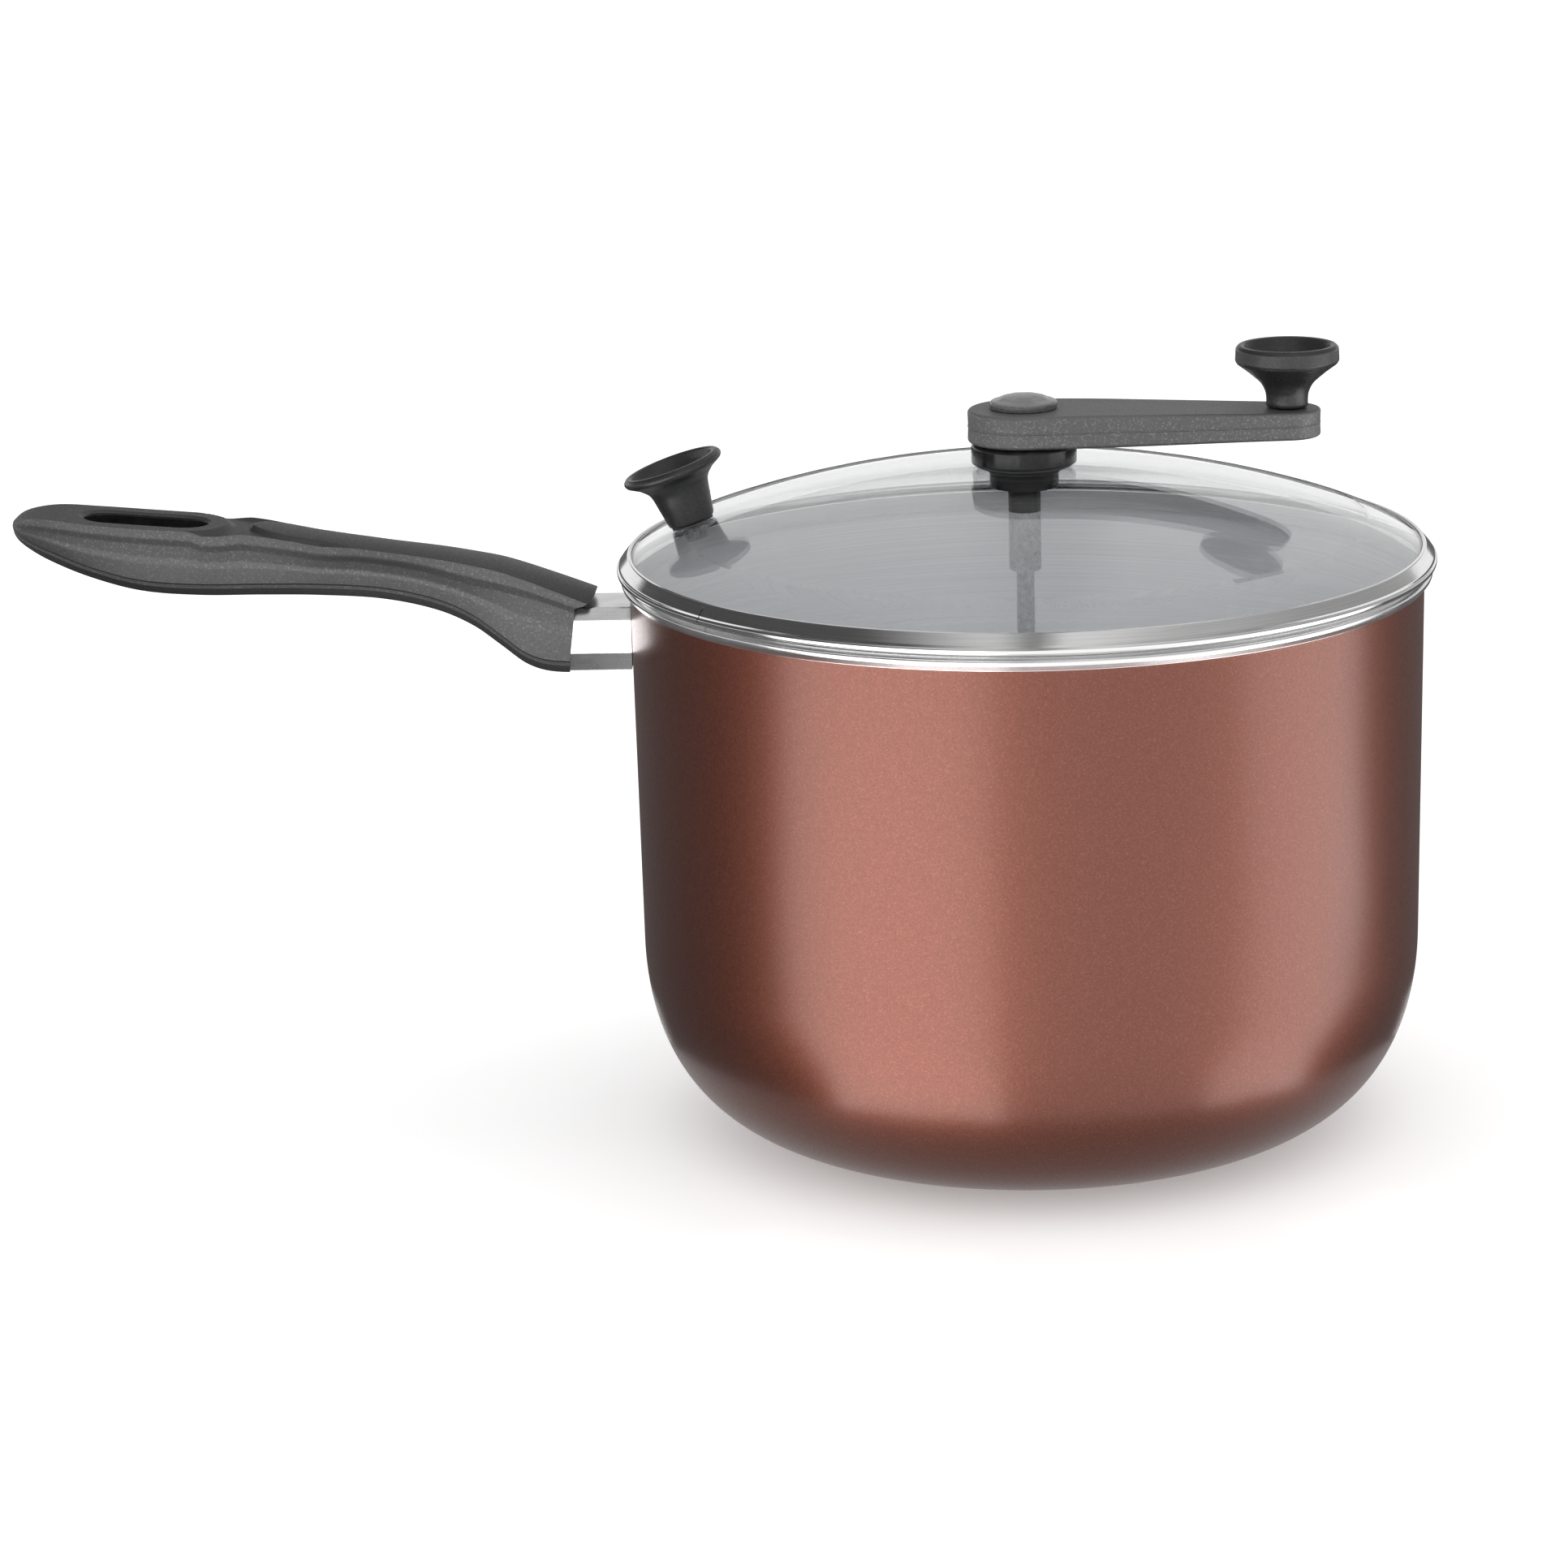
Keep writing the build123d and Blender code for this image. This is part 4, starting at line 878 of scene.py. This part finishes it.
def build_cap():
    """Snap-in cap: glossy side, shallow faceted top, and the skirt that holds it in the arm's pocket."""
    base, top = ARM_TOP_Z + 0.02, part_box("crank_cap")[1].z / MM
    around = 96
    profile = [
        (ARM_POCKET_R - CAP_SKIRT_T, ARM_TOP_Z - CAP_SKIRT_DROP),
        (ARM_POCKET_R - 0.1, ARM_TOP_Z - CAP_SKIRT_DROP),
        (ARM_POCKET_R - 0.1, base),
        (CAP_R - 0.3, base),
        (CAP_R, base + 0.3),
        (CAP_R, base + 1.5),
        (CAP_R - 0.15, base + 1.95),
        (CAP_R - 0.6, base + 2.25),
        (CAP_R - 1.1, base + 2.35),
    ]
    rings = []
    for radius, height in profile:
        rings.append(disc_ring((0, 0), radius, height, around))
    facets = ((1.0, base + 2.75), (0.97, base + 2.95), (0.8, top - 0.12), (0.45, top), (0.1, top))
    for share, height in facets:
        ring = []
        for k in range(around):
            angle = 2 * math.pi * k / around
            facet = 2 * math.pi / CAP_FACETS
            off = (angle + facet / 2) % facet - facet / 2
            faceted, rounded = CAP_PLATEAU_R / math.cos(off), CAP_PLATEAU_R * 1.05
            radius = (faceted * CAP_FACETING + rounded * (1 - CAP_FACETING)) * share
            ring.append((radius * math.cos(angle), radius * math.sin(angle), height))
        rings.append(ring)
    ceiling = [disc_ring((0, 0), r, base + 0.6, around) for r in (0.6, ARM_POCKET_R - CAP_SKIRT_T)]
    bm = loft(ceiling + rings)
    cap = finish_mesh("crank_hub_cap", bm, "crank", [CAP_BLACK], sharp=50)
    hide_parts("crank_cap")


# Handle: x is measured from the pot's axis, negative towards the far end. Tables run from the far end to
# the pot.
GRIP_FAR_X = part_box("handle_grip")[0].x / MM
GRIP_LOW_X = -128.4
GRIP_LOW_Z = 132.8
GRIP_TILT = math.radians(7.0)
GRIP_STEP_Z = 152.1
GRIP_NEAR_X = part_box("handle_grip")[1].x / MM
GRIP_CROWN = (
    (-285.2, 176.4),
    (-284.2, 178.0),
    (-281.5, 179.2),
    (-274.0, 179.6),
    (-262.0, 178.4),
    (-248.0, 177.1),
    (-232.0, 175.9),
    (-214.0, 174.9),
    (-198.0, 172.2),
    (-180.0, 169.4),
    (-165.0, 167.2),
    (-155.0, 165.3),
    (-147.0, 163.5),
    (-134.0, 159.5),
    (-124.0, 156.0),
    (-112.0, 151.4),
)
GRIP_UNDER = (
    (-285.2, 175.4),
    (-284.2, 173.4),
    (-281.5, 171.2),
    (-274.0, 167.2),
    (-262.0, 162.4),
    (-248.0, 158.5),
    (-232.0, 156.9),
    (-214.0, 156.5),
    (-198.0, 156.0),
    (-180.0, 154.6),
    (-165.0, 151.2),
    (-155.0, 146.6),
    (-147.0, 140.6),
    (-140.5, 135.6),
    (-134.0, 133.3),
    (-124.0, 132.8),
    (-112.0, 132.8),
)
GRIP_HALF = (
    (-285.2, 1.2),
    (-284.2, 4.2),
    (-281.5, 8.0),
    (-274.0, 12.2),
    (-262.0, 14.6),
    (-248.0, 15.2),
    (-232.0, 14.7),
    (-214.0, 13.3),
    (-198.0, 12.3),
    (-180.0, 11.9),
    (-155.0, 12.3),
    (-134.0, 12.9),
    (-112.0, 13.2),
)
GRIP_EDGE = (  # half width of the top face, out to its upper edge
    (-285.2, 0.8),
    (-284.2, 3.2),
    (-281.5, 6.6),
    (-274.0, 10.6),
    (-262.0, 12.9),
    (-248.0, 13.5),
    (-232.0, 12.9),
    (-222.0, 12.0),
    (-212.0, 11.2),
    (-200.0, 9.9),
    (-188.0, 8.9),
    (-174.0, 8.8),
    (-155.0, 9.8),
    (-134.0, 11.3),
    (-112.0, 12.2),
)
GRIP_BAND = (  # depth of the hollow band under the upper edge
    (-285.2, 0.5),
    (-281.5, 2.4),
    (-262.0, 3.2),
    (-232.0, 3.6),
    (-214.0, 3.6),
    (-198.0, 3.2),
    (-174.0, 2.9),
    (-152.0, 4.6),
    (-134.0, 3.6),
    (-112.0, 3.0),
)
SLOT_X = -247.5
SLOT_LEN = 35.0
SLOT_W = 15.0
SLOT_EDGE_R = 1.3
SLOT_WALL_TILT = 0.5  # the slot's wall is where a face's normal rises less than this
GRAINED, GLOSSY = 0, 1
PAD_R = 14.2  # round end of the flat pad about the slot
PAD_STEP = 1.3
CROWN_START_X = -217.5
CROWN_NOSE = 15.0  # length of the crown's rounded start
CROWN_MARGIN = 1.6  # between the crown and the upper edge, beside the hollow
HOLLOW_FADE = (-200.0, -186.0)  # the hollow beside the crown runs out here
WING_RISE = 0.9  # the upper edge is lifted beside the crown's start
TOP_STEPS = 34
FINE_X = (-272.0, -186.0)  # sections stand closer together here, round the slot and the crown's start
FINE_STEP, COARSE_STEP = 0.7, 1.5
LAST_SECTION_X = -116.0
SCREW_X = -134.2
SCREW_RECESS_R = 4.4
SCREW_RECESS_Z = 137.0


def grip_top(x, y):
    """Height of the handle's top: a flat pad round the slot, a hollow, then a crown with a rounded start."""
    crown = between(x, GRIP_CROWN)
    edge = between(x, GRIP_EDGE)
    share = min(abs(y) / max(edge, 0.1), 1.0)
    slot_end = SLOT_X + SLOT_LEN / 2 - SLOT_W / 2
    past = math.hypot(max(x - slot_end, 0.0), y) - PAD_R
    pad = 1.0 - ease(past, -0.9, 0.9) if x > slot_end else 1.0
    nose = (x - CROWN_START_X) / CROWN_NOSE
    faded = ease(x, *HOLLOW_FADE)
    rounding = math.sqrt(max(1 - (1 - min(max(nose, 0.0), 1.0)) ** 2, 0.0))
    reach = rounding * (edge - CROWN_MARGIN + CROWN_MARGIN * faded)
    raised = (1.0 - ease(abs(y), reach - 1.1, reach + 0.5)) if nose > 0 else 0.0
    sunk = PAD_STEP * (1.0 - max(pad, raised)) * (1.0 - faded)
    wing = WING_RISE * ease(x, -226.0, -218.0) * (1.0 - ease(x, -206.0, -188.0)) * ease(share, 0.86, 0.99)
    arch = ease(x, -226.0, -205.0) * (0.9 + 1.2 * ease(x, -150.0, -120.0))
    return crown - sunk + wing - arch * share**2.2


def grip_ring(x):
    """Closed section of the handle at x: top, hollow band, swelling side, crease and bevelled underside."""
    under = between(x, GRIP_UNDER)
    half = between(x, GRIP_HALF)
    edge = min(between(x, GRIP_EDGE), half - 0.3)
    top_edge = grip_top(x, edge)
    tall = top_edge - under
    band = min(between(x, GRIP_BAND), 0.3 * tall)
    crease = min(3.6, 0.27 * tall)
    swell = top_edge - band - 0.34 * (tall - band - crease)
    shelf = edge + 0.62 * (half - edge)
    keel = 0.52 * half
    side = soften(
        [
            (edge * 0.985, top_edge + 0.02),
            (edge, top_edge),
            (edge + 0.12 * (half - edge), top_edge - 0.75 * band),
            (shelf, top_edge - 1.16 * band),
            (half, swell),
            (half - 0.1, swell - 0.25 * (swell - under - crease)),
            (0.9 * half, under + crease + 0.5),
            (0.84 * half, under + crease - 0.1),
            (0.86 * half, under + 0.78 * crease),
            (0.7 * half, under + 0.08 * crease),
            (keel, under),
            (0.4 * half, under),
        ],
        [0.55, 1.6, 1.4, 2.6, 3.0, 0.22, 0.2, 0.2, 1.2, 0.6],
        steps=6,
    )
    rim = side[0][0]
    ring = []
    for k in range(TOP_STEPS + 1):
        y = -rim + 2 * rim * k / TOP_STEPS
        ring.append((x, y, grip_top(x, y)))
    ring += [(x, y, z) for y, z in side[1:]]
    for k in range(1, 8):
        ring.append((x, 0.4 * half * (1 - 2 * k / 8), under))
    ring += [(x, -y, z) for y, z in reversed(side[1:])]
    return ring


def slot_cutter():
    """Stadium-shaped cutter for the hanging slot, flared at both ends to round the slot's edges."""
    straight = SLOT_LEN / 2 - SLOT_W / 2
    levels = []
    steps = 6
    for k in range(steps + 1):
        angle = math.radians(8 + 82 * k / steps)
        levels.append((SLOT_EDGE_R * (1 - math.sin(angle)), -SLOT_EDGE_R * (1 - math.cos(angle))))
    rings = []

    def ring(flare, high, drop):
        made = []
        radius = SLOT_W / 2 + flare
        for side in (1, -1):
            for k in range(33):
                angle = -math.pi / 2 + math.pi * k / 32
                x = SLOT_X + side * (straight + radius * math.cos(angle))
                y = side * radius * math.sin(angle)
                level = between(x, GRIP_CROWN) if high else between(x, GRIP_UNDER)
                made.append((x, y, level + drop))
        return made

    rings.append(ring(SLOT_EDGE_R * 1.2, True, 6.0))
    rings += [ring(flare, True, drop) for flare, drop in levels]
    rings += [ring(flare, False, -drop) for flare, drop in reversed(levels)]
    rings.append(ring(SLOT_EDGE_R * 1.2, False, -6.0))
    return loft(rings)


def grip_end_cutter():
    """Block that trims the near end: a slanted face on the flame guard and a lip that reaches over it."""
    face = soften(
        [
            (GRIP_LOW_X - 3 * math.tan(GRIP_TILT), GRIP_LOW_Z - 3),
            (GRIP_LOW_X + (GRIP_STEP_Z - GRIP_LOW_Z) * math.tan(GRIP_TILT), GRIP_STEP_Z),
            (GRIP_NEAR_X - 3.4, GRIP_STEP_Z + 0.5),
            (GRIP_NEAR_X - 0.6, GRIP_STEP_Z + 2.2),
            (GRIP_NEAR_X, GRIP_STEP_Z + 5.0),
            (GRIP_NEAR_X - 1.2, GRIP_STEP_Z + 20),
        ],
        [0.7, 1.5, 1.8, 1.5],
        steps=4,
    )
    profile = face + [(GRIP_NEAR_X + 20, GRIP_STEP_Z + 20), (GRIP_NEAR_X + 20, GRIP_LOW_Z - 3)]
    return loft([[(x, y, z) for x, z in profile] for y in (-30, 30)])


def build_grip():
    """Moulded handle, lofted along its length, with its slot and screw recess cut and its near end trimmed.
    The slot's wall is glossy, and the rest is grained."""
    stops = [GRIP_FAR_X + 0.05 + 3.2 * (k / 8) ** 2 for k in range(8)]
    x = stops[-1]
    while x < LAST_SECTION_X:
        x += FINE_STEP if FINE_X[0] < x < FINE_X[1] else COARSE_STEP
        stops.append(x)
    bm = loft([grip_ring(stop) for stop in stops])
    recess = loft([disc_ring((SCREW_X, 0), SCREW_RECESS_R, z) for z in (GRIP_LOW_Z - 5, SCREW_RECESS_Z)])
    bm = cut(bm, [slot_cutter(), grip_end_cutter(), recess])
    for face in bm.faces:
        place = face.calc_center_median()
        in_slot = abs(place.x - SLOT_X) < SLOT_LEN / 2 and abs(place.y) < SLOT_W / 2 + 0.1
        face.material_index = GLOSSY if in_slot and abs(face.normal.z) < SLOT_WALL_TILT else GRAINED
    grip = finish_mesh("handle_moulding", bm, "pot", [GRIP_BLACK, GLOSS_BLACK], sharp=46, weighted=False)
    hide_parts("handle_grip")


build_pot()
build_grip()
build_band()
build_knobs()
build_arm()
build_cap()

# ---------------------------------------------------------------- camera, floor and light
CAMERA_PLACE = Vector((0.0, -1.3466, 0.4555))
CAMERA_DOWN = 0.25956  # radians below level
CAMERA_TURN = -0.05142  # to the left of straight ahead
CAMERA_ROLL = -0.02586
CAMERA_LENS = 112.7


def set_camera():
    """The camera, at the height and angle from which the handle runs off to the left."""
    ahead = Vector(
        (
            math.sin(CAMERA_TURN) * math.cos(CAMERA_DOWN),
            math.cos(CAMERA_TURN) * math.cos(CAMERA_DOWN),
            -math.sin(CAMERA_DOWN),
        )
    )
    right = Vector((math.cos(CAMERA_TURN), -math.sin(CAMERA_TURN), 0))
    up = right.cross(ahead)
    turn_cos, turn_sin = math.cos(CAMERA_ROLL), math.sin(CAMERA_ROLL)
    across = turn_cos * right + turn_sin * up
    upward = -turn_sin * right + turn_cos * up
    lens = bpy.data.cameras.new("camera")
    lens.lens = CAMERA_LENS
    lens.sensor_width = 36.0
    lens.clip_end = 50.0
    camera = bpy.data.objects.new("camera", lens)
    turned = Matrix((across, upward, -ahead)).transposed().to_4x4()
    camera.matrix_world = Matrix.Translation(CAMERA_PLACE) @ turned
    bpy.context.scene.collection.objects.link(camera)
    bpy.context.scene.camera = camera


def lay_floor():
    """A wide pale floor under the pot."""
    bm = bmesh.new()
    bmesh.ops.create_grid(bm, x_segments=24, y_segments=24, size=9.0)
    mesh = bpy.data.meshes.new("floor")
    bm.to_mesh(mesh)
    bm.free()
    mesh.materials.append(pale_floor())
    floor = bpy.data.objects.new("floor", mesh)
    floor.location.z = cad_low.z
    bpy.context.scene.collection.objects.link(floor)


LAMP_PLACE = Vector((0.0, -0.35, 1.7))
LAMP_AIM = Vector((0.0, 0.0, 0.08))
LAMP_SIZE = (1.9, 1.5)
LAMP_WATTS = 3


def hang_lamp():
    """A large rectangular lamp above the pot, a little towards the camera."""
    lamp = bpy.data.lights.new("overhead", "AREA")
    lamp.shape = "RECTANGLE"
    lamp.size, lamp.size_y = LAMP_SIZE
    lamp.energy = LAMP_WATTS
    box = bpy.data.objects.new("overhead", lamp)
    box.location = LAMP_PLACE
    box.rotation_euler = (LAMP_AIM - LAMP_PLACE).to_track_quat("-Z", "Y").to_euler()
    box.visible_camera = False
    bpy.context.scene.collection.objects.link(box)


# Rails are the lines a card is stretched between: radius, height and share of the card's bearings.
CARD_STEPS = 24
CARD_RAILS = (  # near the pot a card narrows towards the camera's side
    (0.118, 0.001, 0.55),
    (0.16, 0.001, 0.66),
    (0.24, 0.001, 0.85),
    (0.34, 0.001, 1.0),
    (0.5, 0.001, 1.0),
    (0.5, 0.165, 1.0),
)
SHADE_RAILS = ((0.072, 0.0015, 1.0), (0.128, 0.0015, 1.0))
GRIP_FLAG_RAILS = (  # just under the handle
    (0.125, 0.12, 1.0),
    (0.15, 0.126, 1.0),
    (0.19, 0.143, 1.0),
    (0.235, 0.146, 1.0),
    (0.29, 0.16, 1.0),
)
SKY_R = 1.2
SKY_LOW, SKY_HIGH = 20, 89  # degrees above level
SKY_BANDS = 6
SKY_FADE = (  # x in metres, share of the sky's glow
    (-1.0, 0.05),
    (-0.62, 0.06),
    (-0.12, 0.62),
    (0.04, 0.22),
    (0.16, 0.75),
    (0.62, 0.45),
    (1.0, 0.3),
)


def card(name, start, end, glow, rails, seen_by="glossy", fade=None):
    """A studio card round part of the pot that only one kind of ray sees. start and end are bearings, in
    degrees anticlockwise from the camera's side seen from above; glow 0 is black felt."""
    bm = bmesh.new()
    lines = []
    for radius, height, share in rails:
        line = []
        for k in range(CARD_STEPS + 1):
            angle = math.radians(start + (end - start) * k / CARD_STEPS) * share
            line.append(bm.verts.new((math.sin(angle) * radius, -math.cos(angle) * radius, height)))
        lines.append(line)
    for low_line, high_line in zip(lines, lines[1:]):
        for k in range(CARD_STEPS):
            bm.faces.new((low_line[k], low_line[k + 1], high_line[k + 1], high_line[k]))
    mesh = bpy.data.meshes.new(name)
    bm.to_mesh(mesh)
    bm.free()
    mesh.materials.append(card_face(name, glow, fade))
    sheet = bpy.data.objects.new(name, mesh)
    bpy.context.scene.collection.objects.link(sheet)
    for ray in ("camera", "diffuse", "glossy", "shadow", "transmission"):
        setattr(sheet, "visible_" + ray, ray == seen_by)


def sky_rails(low, high):
    """Rails of a card on a wide sphere, between two heights in degrees above level."""
    tilts = [math.radians(low + (high - low) * k / SKY_BANDS) for k in range(SKY_BANDS + 1)]
    return [(SKY_R * math.cos(tilt), SKY_R * math.sin(tilt), 1.0) for tilt in tilts]


def set_light():
    """An even pale surround, one large lamp overhead, and cards that shape the reflections."""
    world = bpy.data.worlds.new("studio")
    world.use_nodes = True
    world.node_tree.nodes["Background"].inputs["Color"].default_value = WHITE
    world.node_tree.nodes["Background"].inputs["Strength"].default_value = 1.0
    # Sampled directly, the surround would shine through the cards, which cast no shadows.
    world.cycles.sampling_method = "NONE"
    bpy.context.scene.world = world
    hang_lamp()
    card("left_card", -65, -9, 2.8, CARD_RAILS)
    card("right_card", 57, 97, 2.3, CARD_RAILS)
    card("left_flag", -178, -68, 0.1, CARD_RAILS)
    card("right_flag", 101, 178, 0.1, CARD_RAILS)
    card("base_shade", -180, 180, 0.4, SHADE_RAILS)
    card("grip_flag", -99, -81, 0.0, GRIP_FLAG_RAILS, seen_by="diffuse")
    card("sky", -180, 180, 1.0, sky_rails(SKY_LOW, SKY_HIGH), fade=SKY_FADE)
    bpy.context.scene.view_settings.view_transform = "Standard"


set_camera()
lay_floor()
set_light()
